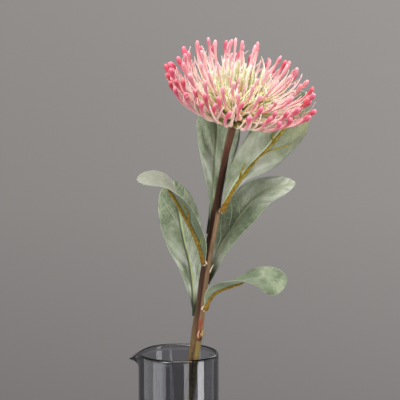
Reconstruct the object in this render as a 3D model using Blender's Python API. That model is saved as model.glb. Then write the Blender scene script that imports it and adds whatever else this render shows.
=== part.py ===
"""A pincushion flower on a leafy stem, leaning in a tall glass vase with a pouring lip.

Run it with: blender --background --python part.py
Lengths are in millimetres here, and become metres as each mesh is made. +Z is up, the
origin is the middle of the vase's foot, and the flower faces -Y.
"""

import math

import bmesh
import bpy
import numpy as np
from mathutils import Matrix, Vector

MM = 0.001
GAP = 0.3  # left between neighbouring solids

# Vase: a straight cylinder with a thick foot and a lip drawn out of the rim.
VASE_RADIUS = 30.6
VASE_HEIGHT = 190.0
VASE_WALL = 2.4
VASE_FLOOR = 8.0
FOOT_ROUNDING = 3.0
VASE_STEPS = 72
LIP_BEARING = 176.0  # degrees from +X, seen from above
LIP_REACH = 12.0  # beyond the cylinder, before its tip is rounded
LIP_DROP = 8.2  # of its tip below the rim
LIP_FRONT_STEEPER = 3.0  # than the side away from the viewer
LIP_DEPTH = 13.0  # of wall that bends out with it

# Stem: its middle line from the cut end to the flower, and its radius at some heights.
STEM_CUT = (-14.0, -12.5, VASE_FLOOR + GAP)
STEM_IN_VASE = (-1.0, -16.0, 100.0)
STEM_LEAN_BEARING = -61.0  # where it leans on the rim, degrees from +X
STEM_ABOVE = (
    (15.0, -21.3, 215.0),
    (18.2, -21.3, 242.0),
    (21.0, -21.2, 261.0),
    (27.5, -22.0, 298.0),
    (34.4, -25.0, 339.0),
    (38.1, -28.0, 356.0),
    (41.2, -31.5, 368.5),
)
STEM_RADII = (
    (0.0, 4.2),
    (190.0, 4.1),
    (204.0, 4.2),
    (210.0, 4.4),
    (219.0, 4.0),
    (228.0, 3.7),
    (240.0, 3.5),
    (260.0, 3.6),
    (280.0, 3.0),
    (301.0, 3.4),
    (312.0, 2.6),
    (345.0, 2.5),
    (368.0, 3.0),
)
STEM_SIDES = 12
STEM_RINGS = 34

# A pruned side bud in the axil of a fallen leaf.
BUD_HEIGHT = 209.0
BUD_BEARING = -50.0
BUD_RADIUS = 1.9
BUD_LENGTH = 6.0

# Leaves. Each starts beside the stem at a height and a bearing, runs through the points of
# its midrib, and turns its upper face the way that "faces" says at the start, along the
# way and at the tip. The two half widths are of the sides to the left and to the right of
# the midrib, seen with the upper face up and the tip pointing away. A larger "belly" moves
# a side's widest part towards the tip, and a smaller "tip" rounds the tip off. The fold is
# the angle that each half is raised from flat.
PETIOLE_HALF = 1.3
LEAF_THICKNESS = 1.1
LEAF_STATIONS = 14
LEAVES = (
    {
        "name": "leaf_upper_left",
        "height": 284,
        "bearing": 139,
        "midrib": ((24, -15, 298), (26.5, -13, 315), (28, -9, 340), (29.5, 0, 363), (30, 10, 382)),
        "faces": ((0.1, -1, 0.1), (0, -1, 0.15), (0, -0.9, 0.4)),
        "half_widths": (16.2, 17.3),
        "belly": (2.4, 2.0),
        "tip": (0.7, 0.85),
        "fold": (10, 12, 12),
    },
    {
        "name": "leaf_upper_right",
        "height": 302,
        "bearing": -27,
        "midrib": ((38.4, -28, 314.4), (45.6, -27, 327), (59.6, -22, 341), (76.4, -10, 358.4), (98, 10, 384)),
        "faces": ((-0.3, 0.9, 0.2), (-0.3, 0.9, 0.2), (-0.3, 0.8, 0.5)),
        "half_widths": (23.0, 22.0),
        "belly": (2.2, 1.7),
        "tip": (0.58, 0.6),
        "fold": (20, 10, 4),
    },
    {
        "name": "leaf_middle_right",
        "height": 246,
        "bearing": 37,
        "midrib": ((27, -15, 260), (34, -12, 277), (46, -8, 295), (62, -6, 311), (87, -12, 321)),
        "faces": ((-0.5, -0.9, 0.1), (-0.3, -0.9, 0.3), (-0.1, -0.7, 0.7)),
        "half_widths": (16.8, 15.0),
        "belly": (1.2, 1.2),
        "tip": (0.85, 1.0),
        "fold": (30, 18, 10),
    },
    {
        "name": "leaf_middle_left",
        "height": 263,
        "bearing": -114,
        "midrib": ((15.5, -30, 278), (7, -36, 297), (-3, -42, 316), (-12, -46, 326), (-29, -50, 328)),
        "faces": ((0.6, 0.8, 0.0), (0.6, 0.1, 0.8), (0.1, -0.7, 0.7)),
        "half_widths": (12.5, 11.0),
        "belly": (1.2, 1.35),
        "tip": (0.85, 0.6),
        "fold": (40, 25, 8),
    },
    {
        "name": "leaf_lower_left",
        "height": 222,
        "bearing": 152,
        "midrib": ((11.5, -15.5, 238), (9.5, -13, 258), (4.5, -10, 279), (0.5, -6, 300), (-4, 2, 321)),
        "faces": ((0.2, -1, 0.1), (0, -1, 0.2), (0, -0.9, 0.4)),
        "half_widths": (17.0, 15.5),
        "belly": (1.9, 1.4),
        "tip": (0.55, 0.7),
        "fold": (15, 12, 10),
    },
    {
        "name": "leaf_lower_right",
        "height": 229,
        "bearing": -53,
        "midrib": ((25, -29, 239), (33, -32, 245), (46, -35, 250), (60, -37, 255), (80, -38, 252)),
        "faces": ((-0.4, 0.7, 0.5), (0.0, -0.2, 1.0), (0.1, -0.95, 0.3)),
        "half_widths": (9.0, 18.5),
        "belly": (1.9, 1.7),
        "tip": (0.7, 0.75),
        "fold": (35, 25, 8),
    },
)

# Flower head. Its own frame has the stem's top as origin and the head's axis as +Z.
HEAD_TIPS_FORWARD = 24.6  # degrees
HEAD_TIPS_RIGHT = 8.2
DOME_RADIUS = 10.0
DOME_HEIGHT = 7.0  # of the dome's centre above the stem's top
BAND_THICKNESS = 1.2
BAND_HALF_ANGLE = 6.5  # degrees of the dome that a whorl's base covers, each way
HEAD_STEPS = 32

# Whorls of florets, from the outermost in: how many, where they sit on the dome (degrees
# from its top), the way they set out and the way their tips point (degrees from the
# head's axis), and their length.
WHORLS = (
    ("florets_whorl_1", 26, 92.0, 88.0, 24.0, 52.0),
    ("florets_whorl_2", 26, 76.0, 82.0, 18.0, 52.0),
    ("florets_whorl_3", 20, 60.0, 69.0, 11.0, 49.0),
    ("florets_whorl_4", 12, 44.0, 53.0, 7.0, 42.0),
    ("florets_whorl_5", 6, 27.0, 38.0, 4.0, 32.0),
    ("florets_centre", 5, 12.0, 16.0, 8.0, 15.0),
)
BEND_POWER = 1.4  # the styles bend more towards their tips
# At the front of the head, the outer styles turn up more than elsewhere and the inner
# ones less, so that the middle stays open. Those at the front right hang lower, and
# those at the back right are shorter.
FRONT_SETS_OUT_LESS = 6.0  # degrees
FRONT_TURNS_UP_MORE = (14.0, 8.0, -10.0, -22.0, -22.0, 0.0)  # degrees, for each whorl
LOW_BEARING = -26.0
LOW_SETS_OUT_MORE = 6.0
LOW_TURNS_UP_LESS = 9.0
SHORT_BEARING = 60.0
SHORTER_BY = 0.11  # share of the length
STYLE_HALF = 0.8
TIP_HALF = 1.45
# Where along a style its rings lie, and how thick it is there.
STYLE_RINGS = (
    (0.08, STYLE_HALF),
    (0.35, STYLE_HALF),
    (0.6, STYLE_HALF),
    (0.8, STYLE_HALF),
    (0.88, TIP_HALF),
    (0.97, TIP_HALF),
    (1.0, STYLE_HALF),
)

# Bract cup under the florets: its section as (radius, height) in the head's frame. The
# two outermost points are drawn in between the lobes.
BRACT_LOBES = 11
BRACT_SECTION = (
    (3.6, -1.4),
    (3.6, -0.3),
    (9.6, 3.0),
    (14.0, 3.5),
    (14.0, 2.7),
    (9.0, 1.6),
    (5.2, -1.4),
)
BRACT_LOBE_POINTS = (3, 4)
BRACT_NOTCH_RADIUS = 10.6


def wobble(index, kind):
    """A repeatable number from -1 to 1 that looks random."""
    value = math.sin(index * 12.9898 + kind * 78.233) * 43758.5453
    return 2.0 * (value - math.floor(value)) - 1.0


def smooth_curve(points, count):
    """count points evenly spaced along a smooth curve through the given ones."""
    p = np.array(points, float)
    p = np.vstack([2 * p[0] - p[1], p, 2 * p[-1] - p[-2]])
    fine = []
    for a, b, c, d in zip(p[:-3], p[1:-2], p[2:-1], p[3:]):
        t = np.linspace(0.0, 1.0, 30)[:, None]
        fine.append(
            0.5 * (2 * b + (c - a) * t + (2 * a - 5 * b + 4 * c - d) * t**2
                   + (3 * b - a - 3 * c + d) * t**3)
        )
    fine = np.vstack(fine)
    steps = np.linalg.norm(np.diff(fine, axis=0), axis=1)
    along = np.concatenate([[0.0], np.cumsum(steps)])
    wanted = np.linspace(0.0, along[-1], count)
    return np.stack([np.interp(wanted, along, fine[:, k]) for k in range(3)], axis=1)


def unit(v):
    v = np.asarray(v, float)
    return v / np.linalg.norm(v, axis=-1, keepdims=True)


def material(name, colour, roughness, transmission=0.0):
    """A plain Principled material; the colour is linear red, green and blue."""
    made = bpy.data.materials.new(name)
    made.use_nodes = True
    shader = made.node_tree.nodes["Principled BSDF"]
    shader.inputs["Base Color"].default_value = (*colour, 1.0)
    shader.inputs["Roughness"].default_value = roughness
    shader.inputs["Transmission Weight"].default_value = transmission
    made.diffuse_color = (*colour, 1.0)
    return made


def add_object(name, bm, finish, parent=None):
    """Turns a bmesh in millimetres into a named object in metres."""
    bmesh.ops.recalc_face_normals(bm, faces=bm.faces)
    bmesh.ops.scale(bm, vec=(MM, MM, MM), verts=bm.verts)
    mesh = bpy.data.meshes.new(name)
    bm.to_mesh(mesh)
    bm.free()
    mesh.materials.append(finish)
    mesh.shade_smooth()
    mesh.set_sharp_from_angle(angle=math.radians(40))
    made = bpy.data.objects.new(name, mesh)
    bpy.context.scene.collection.objects.link(made)
    made.parent = parent
    return made


def loft(rings, closed=False):
    """A solid through rings of equally many points, capped at its ends or, if closed,
    joined last ring to first."""
    bm = bmesh.new()
    rows = [[bm.verts.new(point) for point in ring] for ring in rings]
    sides = len(rows[0])
    pairs = list(zip(rows, rows[1:]))
    if closed:
        pairs.append((rows[-1], rows[0]))
    for near, far in pairs:
        for k in range(sides):
            m = (k + 1) % sides
            bm.faces.new((near[k], near[m], far[m], far[k]))
    if not closed:
        bm.faces.new(rows[0])
        bm.faces.new(rows[-1])
    return bm


def revolve(section, steps):
    """A solid turned about Z from a section that starts and ends on the axis."""
    bm = bmesh.new()
    verts = [bm.verts.new((radius, 0.0, height)) for radius, height in section]
    edges = [bm.edges.new(pair) for pair in zip(verts, verts[1:])]
    bmesh.ops.spin(
        bm, geom=verts + edges, axis=(0, 0, 1), cent=(0, 0, 0),
        angle=2 * math.pi, steps=steps, use_merge=True,
    )
    bmesh.ops.remove_doubles(bm, verts=bm.verts, dist=0.001)
    return bm


def quarter(centre, radius, start, end, count=3):
    """Points of an arc in the (radius, height) plane, angles in degrees."""
    angles = np.radians(np.linspace(start, end, count))
    return [
        (centre[0] + radius * math.cos(a), centre[1] + radius * math.sin(a)) for a in angles
    ]


def vase_section():
    """The vase's outline, from the middle of the foot, up the outside, over the rim and
    down to the middle of the inner floor."""
    bend_heights = [VASE_HEIGHT - LIP_DEPTH * share for share in (1.0, 0.55, 0.25)]
    inner = VASE_RADIUS - VASE_WALL
    half = VASE_WALL / 2
    outline = [(0.0, 0.0)]
    outline += quarter((VASE_RADIUS - FOOT_ROUNDING, FOOT_ROUNDING), FOOT_ROUNDING, -90, 0)
    outline += [(VASE_RADIUS, height) for height in bend_heights]
    outline += quarter((VASE_RADIUS - half, VASE_HEIGHT - half), half, 0, 180, 5)
    outline += [(inner, height) for height in reversed(bend_heights)]
    outline += quarter(
        (inner - FOOT_ROUNDING, VASE_FLOOR + FOOT_ROUNDING), FOOT_ROUNDING, 0, -90
    )
    outline.append((0.0, VASE_FLOOR))
    return outline


def draw_out_lip(bm):
    """Bends the rim into a pouring lip. Seen from above, its far side is the tangent from
    the lip's tip to the rim and its near side is steeper. It fades out down the wall."""
    spread = math.acos(VASE_RADIUS / (VASE_RADIUS + LIP_REACH))
    tip_rounding = math.radians(5)
    for vert in bm.verts:
        x, y, z = vert.co
        share = (z - (VASE_HEIGHT - LIP_DEPTH)) / LIP_DEPTH
        turn = math.remainder(math.atan2(y, x) - math.radians(LIP_BEARING), 2 * math.pi)
        turn = math.hypot(max(turn * LIP_FRONT_STEEPER, -turn), tip_rounding)
        if share <= 0 or turn >= spread:
            continue
        out = VASE_RADIUS / math.cos(spread - turn) - VASE_RADIUS
        bend = min(share, 1.0) ** 1.9
        radius = math.hypot(x, y)
        scale = (radius + out * bend) / radius
        vert.co = (x * scale, y * scale, z - LIP_DROP * out / LIP_REACH * bend)


def make_vase(glass):
    bm = revolve(vase_section(), VASE_STEPS)
    draw_out_lip(bm)
    add_object("vase", bm, glass)


def stem_line():
    """The stem's middle line. At the rim it lies its own radius inside the glass."""
    rim_radius = VASE_RADIUS - VASE_WALL - GAP - stem_radius(VASE_HEIGHT) - 0.1
    bearing = math.radians(STEM_LEAN_BEARING)
    at_rim = (rim_radius * math.cos(bearing), rim_radius * math.sin(bearing), VASE_HEIGHT)
    return smooth_curve((STEM_CUT, STEM_IN_VASE, at_rim, *STEM_ABOVE), 200)


def stem_radius(height):
    heights, radii = zip(*STEM_RADII)
    return float(np.interp(height, heights, radii))


def stem_centre(height):
    line = stem_line()
    return np.array([np.interp(height, line[:, 2], line[:, k]) for k in range(2)] + [height])


def make_stem(bark):
    """A round tube of changing radius. Its cut end is level, flat on the vase's floor,
    and its top is square to the flower head's axis."""
    line = stem_line()
    rows = np.linspace(0, len(line) - 1, STEM_RINGS).astype(int)
    tangents = unit(np.gradient(line, axis=0))
    tangents[-1] = head_tilt() @ Vector((0, 0, 1))
    angles = np.linspace(0, 2 * math.pi, STEM_SIDES, endpoint=False)
    rings = []
    for row in rows:
        side = unit(np.cross(tangents[row], (0, 1, 0)))
        front = np.cross(side, tangents[row])
        radius = stem_radius(line[row, 2])
        ring = line[row] + radius * (
            np.outer(np.cos(angles), side) + np.outer(np.sin(angles), front)
        )
        rings.append(ring)
    rings[0][:, 2] = STEM_CUT[2]
    add_object("stem", loft(rings), bark)


def beside_stem(height, bearing, distance):
    """A point that far from the stem's surface, at a height and a bearing."""
    angle = math.radians(bearing)
    out = np.array([math.cos(angle), math.sin(angle), 0.0])
    return stem_centre(height) + (stem_radius(height) + distance) * out


def make_bud(bark):
    """A small egg-shaped bud standing against the stem."""
    centre = beside_stem(BUD_HEIGHT, BUD_BEARING, GAP + BUD_RADIUS)
    bm = bmesh.new()
    bmesh.ops.create_uvsphere(bm, u_segments=10, v_segments=8, radius=BUD_RADIUS)
    bmesh.ops.scale(bm, vec=(1, 1, BUD_LENGTH / (2 * BUD_RADIUS)), verts=bm.verts)
    bmesh.ops.translate(bm, vec=centre, verts=bm.verts)
    add_object("axillary_bud", bm, bark)


def leaf_half_width(t, widest, belly, tip):
    """Narrow like a stalk at the base, widest past the middle, closing at the tip."""
    blade = widest * np.sin(math.pi * np.clip(t, 0, 0.985) ** belly) ** tip
    return np.maximum(blade, PETIOLE_HALF * (1 - t**4))


def make_leaf(leaf, finish):
    """A thin solid lofted along the midrib. Each section has eight corners: the two
    edges, and the upper and lower surface at the middle and half-way out."""
    start = beside_stem(leaf["height"], leaf["bearing"], GAP + PETIOLE_HALF)
    line = smooth_curve((start, *leaf["midrib"]), LEAF_STATIONS)
    t = np.linspace(0, 1, LEAF_STATIONS)
    tangent = unit(np.gradient(line, axis=0))
    face = np.stack(
        [np.interp(t, (0, 0.55, 1), [f[k] for f in leaf["faces"]]) for k in range(3)], axis=1
    )
    across = unit(np.cross(tangent, face))
    up = np.cross(across, tangent)
    left, right = (
        leaf_half_width(t, leaf["half_widths"][k], leaf["belly"][k], leaf["tip"][k])
        for k in (0, 1)
    )
    fold = np.radians(np.interp(t, (0, 0.55, 1), leaf["fold"]))
    rings = []
    for k in range(LEAF_STATIONS):
        corners = []
        for share, side in (
            (-1, 0), (-0.5, 1), (0, 1), (0.5, 1), (1, 0), (0.5, -1), (0, -1), (-0.5, -1),
        ):
            reach = share * (left[k] if share < 0 else right[k])
            thin = LEAF_THICKNESS / 2 * side * (1 - 0.4 * abs(share))
            corners.append(
                line[k]
                + across[k] * reach * math.cos(fold[k])
                + up[k] * (abs(reach) * math.sin(fold[k]) + thin)
            )
        rings.append(corners)
    add_object(leaf["name"], loft(rings), finish)


def dome_point(angle, radius):
    """(out, up) of a point of a sphere about the dome's centre, angle from its top."""
    a = math.radians(angle)
    return radius * math.sin(a), DOME_HEIGHT + radius * math.cos(a)


def make_receptacle(finish, head):
    """The woolly core that carries the florets: a dome on a short cone."""
    section = [(0.0, GAP), (3.2, GAP), (9.0, 4.0)]
    section += [dome_point(angle, DOME_RADIUS) for angle in np.linspace(100, 0, 8)]
    add_object("receptacle", revolve(section, HEAD_STEPS), finish, head)


def make_bracts(finish, head):
    """A cup of small bracts around the receptacle's foot, with a lobed edge."""
    steps = 2 * BRACT_LOBES
    rings = []
    for step in range(steps):
        angle = 2 * math.pi * step / steps
        section = list(BRACT_SECTION)
        if step % 2:
            for k in BRACT_LOBE_POINTS:
                section[k] = (BRACT_NOTCH_RADIUS, section[k][1] - 0.3)
        rings.append([(r * math.cos(angle), r * math.sin(angle), z) for r, z in section])
    add_object("bract_cup", loft(rings, closed=True), finish, head)


def style_curve(whorl, index):
    """A style's middle line in the head's frame, with the share of its length at each
    point, its direction and the direction square to it, towards the head's axis."""
    order = WHORLS.index(whorl)
    _, _, seat, lean_out, lean_tip, length = whorl
    seed = 100 * order + index
    s = np.linspace(0.0, 1.0, 41)
    bearing = math.radians(style_bearing(whorl, index))
    front = max(0.0, -math.sin(bearing)) * math.sin(math.radians(seat))
    low = max(0.0, math.cos(bearing - math.radians(LOW_BEARING))) ** 2
    low *= math.sin(math.radians(seat)) ** 2
    set_out = lean_out - FRONT_SETS_OUT_LESS * front + LOW_SETS_OUT_MORE * low
    tip = lean_tip + 7.0 * wobble(seed, 4)
    tip += LOW_TURNS_UP_LESS * low - FRONT_TURNS_UP_MORE[order] * front
    lean = np.radians(set_out + (tip - set_out) * s**BEND_POWER)
    short = max(0.0, math.cos(bearing - math.radians(SHORT_BEARING))) ** 2
    length *= 1 + 0.06 * wobble(seed, 5) - SHORTER_BY * short
    step = length / (len(s) - 1)
    middle = (lean[1:] + lean[:-1]) / 2
    out0, up0 = dome_point(seat, DOME_RADIUS + GAP + BAND_THICKNESS)
    out = out0 + np.concatenate([[0.0], np.cumsum(np.sin(middle) * step)])
    up = up0 + np.concatenate([[0.0], np.cumsum(np.cos(middle) * step)])
    turn = np.radians(style_bearing(whorl, index) + 3.5 * wobble(seed, 6) * s**2)
    across = np.stack([-np.sin(turn), np.cos(turn), 0 * turn], axis=1)
    outward = np.stack([np.cos(turn), np.sin(turn), 0 * turn], axis=1)
    points = outward * out[:, None] + np.array([0, 0, 1]) * up[:, None]
    inward = -outward * np.cos(lean)[:, None] + np.array([0, 0, 1]) * np.sin(lean)[:, None]
    return s, points, across, inward


def style_bearing(whorl, index):
    """Degrees round the head's axis. Whorls are set half a step apart."""
    order = WHORLS.index(whorl)
    pitch = 360.0 / whorl[1]
    return pitch * (index + 0.5 * (order % 2) + 0.12 * wobble(100 * order + index, 3))


def make_whorl(whorl, finish, head):
    """A thin band round the dome, with a style growing out of every second face."""
    name, count, seat = whorl[:3]
    inner = DOME_RADIUS + GAP
    outer = inner + BAND_THICKNESS
    half = min(STYLE_HALF, 0.3 * dome_point(seat, outer)[0] * 2 * math.pi / count)
    half_turn = math.degrees(half / dome_point(seat, outer)[0])
    half_angle = min(BAND_HALF_ANGLE, seat - 5)
    corners = [
        dome_point(seat + half_angle, outer),
        dome_point(seat - half_angle, outer),
        dome_point(seat - half_angle, inner),
        dome_point(seat + half_angle, inner),
    ]
    bm = bmesh.new()
    rows = []
    for index in range(count):
        for side in (-1, 1):
            turn = math.radians(style_bearing(whorl, index) + side * half_turn)
            rows.append(
                [bm.verts.new((r * math.cos(turn), r * math.sin(turn), z)) for r, z in corners]
            )
    for k, near in enumerate(rows):
        far = rows[(k + 1) % len(rows)]
        for c in range(4):
            d = (c + 1) % 4
            if k % 2 == 0 and c == 0:
                grow_style(bm, (near[0], far[0], far[1], near[1]), whorl, k // 2, half)
            else:
                bm.faces.new((near[c], far[c], far[d], near[d]))
    add_object(name, bm, finish, head)


def grow_style(bm, base, whorl, index, half):
    """Carries a style of four sides from its base on the band to its thick tip."""
    s, points, across, inward = style_curve(whorl, index)
    previous = list(base)
    for share, radius in STYLE_RINGS:
        k = int(np.argmin(abs(s - share)))
        radius *= half / STYLE_HALF
        ring = [
            bm.verts.new(points[k] + radius * (a * across[k] + b * inward[k]))
            for a, b in ((-1, -1), (1, -1), (1, 1), (-1, 1))
        ]
        for c in range(4):
            d = (c + 1) % 4
            bm.faces.new((previous[c], previous[d], ring[d], ring[c]))
        previous = ring
    bm.faces.new(previous)


def head_tilt():
    """The rotation that takes straight up to the flower head's axis."""
    forward = Matrix.Rotation(math.radians(HEAD_TIPS_FORWARD), 4, "X")
    right = Matrix.Rotation(math.radians(HEAD_TIPS_RIGHT), 4, "Y")
    return right @ forward


def make_head_frame():
    """An empty at the stem's top whose Z is the flower head's axis."""
    head = bpy.data.objects.new("flower_head", None)
    head.matrix_world = Matrix.Translation(Vector(STEM_ABOVE[-1]) * MM) @ head_tilt()
    bpy.context.scene.collection.objects.link(head)
    return head


def main():
    for old in list(bpy.data.objects):
        bpy.data.objects.remove(old)
    glass = material("smoked_glass", (0.12, 0.125, 0.135), 0.03, transmission=1.0)
    bark = material("bark", (0.14, 0.07, 0.045), 0.6)
    leaf_green = material("leaf_green", (0.20, 0.27, 0.18), 0.75)
    bract_green = material("bract_green", (0.13, 0.18, 0.06), 0.7)
    wool = material("receptacle_wool", (0.45, 0.5, 0.2), 0.8)
    petal_pink = material("petal_pink", (0.8, 0.25, 0.28), 0.5)
    make_vase(glass)
    make_stem(bark)
    make_bud(bark)
    for leaf in LEAVES:
        make_leaf(leaf, leaf_green)
    head = make_head_frame()
    make_receptacle(wool, head)
    make_bracts(bract_green, head)
    for whorl in WHORLS:
        make_whorl(whorl, petal_pink, head)


main()
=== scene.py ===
# %% [markdown]
# # A pincushion flower in a glass vase
#
# A single pincushion flower leans in a tall vase of smoked glass. The solids of the
# model come first. Each visible part is then drawn again as a fine surface, worked out
# with numpy as a grid of points, so that its shape is one formula in two parameters.

# %% The tools and the solid model
import math

import bpy
import numpy as np
from mathutils import Matrix, Vector


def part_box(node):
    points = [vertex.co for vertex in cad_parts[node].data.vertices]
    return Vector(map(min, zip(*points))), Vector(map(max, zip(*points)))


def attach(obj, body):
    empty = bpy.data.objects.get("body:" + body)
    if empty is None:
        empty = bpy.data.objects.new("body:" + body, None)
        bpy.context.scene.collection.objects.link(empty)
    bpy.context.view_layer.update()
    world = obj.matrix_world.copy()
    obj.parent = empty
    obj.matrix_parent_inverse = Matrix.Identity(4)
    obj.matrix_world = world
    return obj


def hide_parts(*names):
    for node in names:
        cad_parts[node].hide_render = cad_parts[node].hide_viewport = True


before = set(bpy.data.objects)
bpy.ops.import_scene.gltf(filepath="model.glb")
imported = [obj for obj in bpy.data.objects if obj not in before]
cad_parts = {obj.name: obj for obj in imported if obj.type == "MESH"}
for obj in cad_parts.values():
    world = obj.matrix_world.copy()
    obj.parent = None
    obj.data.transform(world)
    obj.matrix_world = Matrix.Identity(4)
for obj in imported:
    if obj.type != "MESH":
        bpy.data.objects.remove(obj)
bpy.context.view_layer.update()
MM = 0.001
GAP = 0.3

# %% [markdown]
# ## Small helpers
#
# Plants never repeat exactly. A number that looks random but is the same on each run
# comes from the sine of a large number. Curves go smoothly through a few given points,
# which is how a florist's wire or a growing shoot bends.


# %% Numbers and curves
WOBBLE_STEPS = (12.9898, 78.233)
WOBBLE_SIZE = 43758.5453


def wobble(index, kind):
    """A repeatable number from -1 to 1: the fraction of a large sine. The index says
    which floret it is for, and the kind which of its measures."""
    value = np.sin(np.asarray(index) * WOBBLE_STEPS[0] + kind * WOBBLE_STEPS[1]) * WOBBLE_SIZE
    return 2.0 * (value - np.floor(value)) - 1.0


def full_turn(steps):
    """Even angles once round, in radians. The last is one step short of the first."""
    return np.linspace(0, 2 * math.pi, steps, endpoint=False)


def unit(v):
    """Each vector divided by its length."""
    v = np.asarray(v, float)
    return v / np.linalg.norm(v, axis=-1, keepdims=True)


def ease(low, high, value):
    """From 0 at low to 1 at high, flat at both ends: 3 u squared less 2 u cubed."""
    u = np.clip((np.asarray(value, float) - low) / (high - low), 0.0, 1.0)
    return u * u * (3.0 - 2.0 * u)


STEPS_BETWEEN_POINTS = 30


def smooth_curve(points, count):
    """Evenly spaced points of a Catmull-Rom curve: a cubic between each two points, whose
    slope at a point is that of the line between its neighbours."""
    p = np.array(points, float)
    p = np.vstack([2 * p[0] - p[1], p, 2 * p[-1] - p[-2]])
    fine = []
    for a, b, c, d in zip(p[:-3], p[1:-2], p[2:-1], p[3:]):
        t = np.linspace(0.0, 1.0, STEPS_BETWEEN_POINTS)[:, None]
        fine.append(
            0.5 * (2 * b + (c - a) * t + (2 * a - 5 * b + 4 * c - d) * t**2
                   + (3 * b - a - 3 * c + d) * t**3)
        )
    fine = np.vstack(fine)
    along = np.concatenate([[0.0], np.cumsum(np.linalg.norm(np.diff(fine, axis=0), axis=1))])
    wanted = np.linspace(0.0, along[-1], count)
    return np.stack([np.interp(wanted, along, fine[:, k]) for k in range(3)], axis=1)


print("wobble:", wobble(np.arange(4), 1).round(2))

# %% [markdown]
# ## From a grid of points to a mesh
#
# A stalk, a leaf and a vase are all grids: rows that follow the length and columns that
# go round. The builder below takes many grids of the same size at once, joins each
# point to its neighbours, and closes the ends, so that every piece is a closed body.


# %% Grids to meshes
def grid_faces(copies, rows, columns):
    """Corners of the four-sided faces of grids whose last column meets the first."""
    point = np.arange(copies * rows * columns).reshape(copies, rows, columns)
    following = np.roll(point, -1, axis=2)
    corners = (point[:, :-1], following[:, :-1], following[:, 1:], point[:, 1:])
    return np.stack(corners, axis=-1).reshape(-1, 4)


def enclosed(points, faces):
    """Six times the volume inside: the sum over faces of a corner's triple product with
    the face's diagonals. It is negative if the faces point inwards."""
    a, b, c, d = (points[faces[:, k]] for k in range(4))
    return float(np.sum(a * np.cross(c - a, d - b)))


def skin(name, grids, finish, **fields):
    """A closed piece from grids of points in millimetres, shaped (copies, rows, columns,
    3). Columns go round, and the first and last row are closed by one face each. A field
    is one number for each point, which the finish can read."""
    grids = np.asarray(grids, float)
    grids = grids[None] if grids.ndim == 3 else grids
    copies, rows, columns = grids.shape[:3]
    points = grids.reshape(-1, 3)
    faces = grid_faces(copies, rows, columns)
    starts = np.arange(copies)[:, None] * rows * columns + np.arange(columns)
    caps = [list(ring[::-1]) for ring in starts]
    caps += [list(ring + (rows - 1) * columns) for ring in starts]
    sides = faces.tolist()
    if enclosed(points, faces) < 0:
        sides = [side[::-1] for side in sides]
        caps = [cap[::-1] for cap in caps]
    mesh = bpy.data.meshes.new(name)
    mesh.from_pydata((points * MM).tolist(), [], sides + caps)
    mesh.materials.append(finish)
    for field, values in fields.items():
        layer = mesh.attributes.new(field, "FLOAT", "POINT")
        spread = np.broadcast_to(values, grids.shape[:3])
        layer.data.foreach_set("value", spread.astype(np.float32).ravel())
    mesh.shade_smooth()
    piece = bpy.data.objects.new(name, mesh)
    bpy.context.scene.collection.objects.link(piece)
    print(f"{name}: {copies} x {rows} x {columns}, {len(mesh.polygons)} faces")
    return piece


print("a grid of 1 x 2 x 3 points has", len(grid_faces(1, 2, 3)), "faces round it")


# %% [markdown]
# A tube is the commonest grid here: a stem, a rib, a style. It needs a path and two
# directions square to it. Every finished piece then says which body it moves with, and
# which solids it takes the place of.


# %% Tubes and places
def rings(path, across, outward, radius, sides):
    """Circles square to a path: the path's point, plus the radius times the cosine of the
    angle along one direction, plus its sine along the other."""
    angle = full_turn(sides)
    radius = np.asarray(radius, float)
    radius = radius[..., None] if radius.ndim < path.ndim else radius
    spoke = (
        np.cos(angle)[:, None] * across[..., None, :]
        + np.sin(angle)[:, None] * outward[..., None, :]
    )
    return path[..., None, :] + radius[..., None] * spoke


def belongs(piece, slot, *nodes):
    """The piece moves with the whole part and stands for solids. The slot is not used."""
    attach(piece, "root")
    if nodes:
        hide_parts(*nodes)


print("a full turn in four:", np.degrees(full_turn(4)))


# %% [markdown]
# ## Materials as small node trees
#
# A finish is one Principled shader whose colour comes from a ramp. What drives the ramp
# is a field stored on the mesh, such as how far along a leaf a point is, broken up by a
# little noise on object coordinates. So colour follows growth, as it does on a plant.


# %% Nodes
def tint(red, green, blue):
    """A colour given as 0 to 255 per channel, as the linear values that shaders take."""
    c = np.array([red, green, blue]) / 255.0
    linear = np.where(c <= 0.04045, c / 12.92, ((c + 0.055) / 1.055) ** 2.4)
    return (*linear.tolist(), 1.0)


def add(tree, kind, out=0, settings=None, **inputs):
    """A node of that kind. Inputs are values, or outputs of other nodes to link. They go
    by name, or by place: _0 is the first socket."""
    made = tree.nodes.new(kind)
    for key, value in (settings or {}).items():
        setattr(made, key, value)
    for key, value in inputs.items():
        socket = made.inputs[int(key[1:]) if key[0] == "_" else key.replace("_", " ")]
        if isinstance(value, bpy.types.NodeSocket):
            tree.links.new(value, socket)
        else:
            socket.default_value = value
    return made.outputs[out]


def noise(tree, scale, detail=3.0, stretch=(1.0, 1.0, 1.0)):
    """Soft noise on object coordinates; the scale is in features per metre."""
    place = add(tree, "ShaderNodeTexCoord", out="Object")
    place = add(tree, "ShaderNodeMapping", Vector=place, Scale=stretch)
    return add(tree, "ShaderNodeTexNoise", out="Fac", Vector=place, Scale=scale, Detail=detail)


def field(tree, name):
    """The field of that name, stored on the mesh's points."""
    return add(tree, "ShaderNodeAttribute", out="Fac", settings={"attribute_name": name})


print("mid grey as the shaders take it:", [round(c, 3) for c in tint(128, 128, 128)])


# %% [markdown]
# Nodes do arithmetic too. Most of it is products, a part of one value added to another,
# and a value stirred by noise. A band turns a value into a soft step, a ramp turns it
# into a colour, and a layer lays one colour over another.


# %% Arithmetic and layers
def sums(tree, operation, a, b=0.0, c=0.5):
    """Arithmetic on one, two or three numbers or outputs."""
    return add(tree, "ShaderNodeMath", settings={"operation": operation}, _0=a, _1=b, _2=c)


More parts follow.
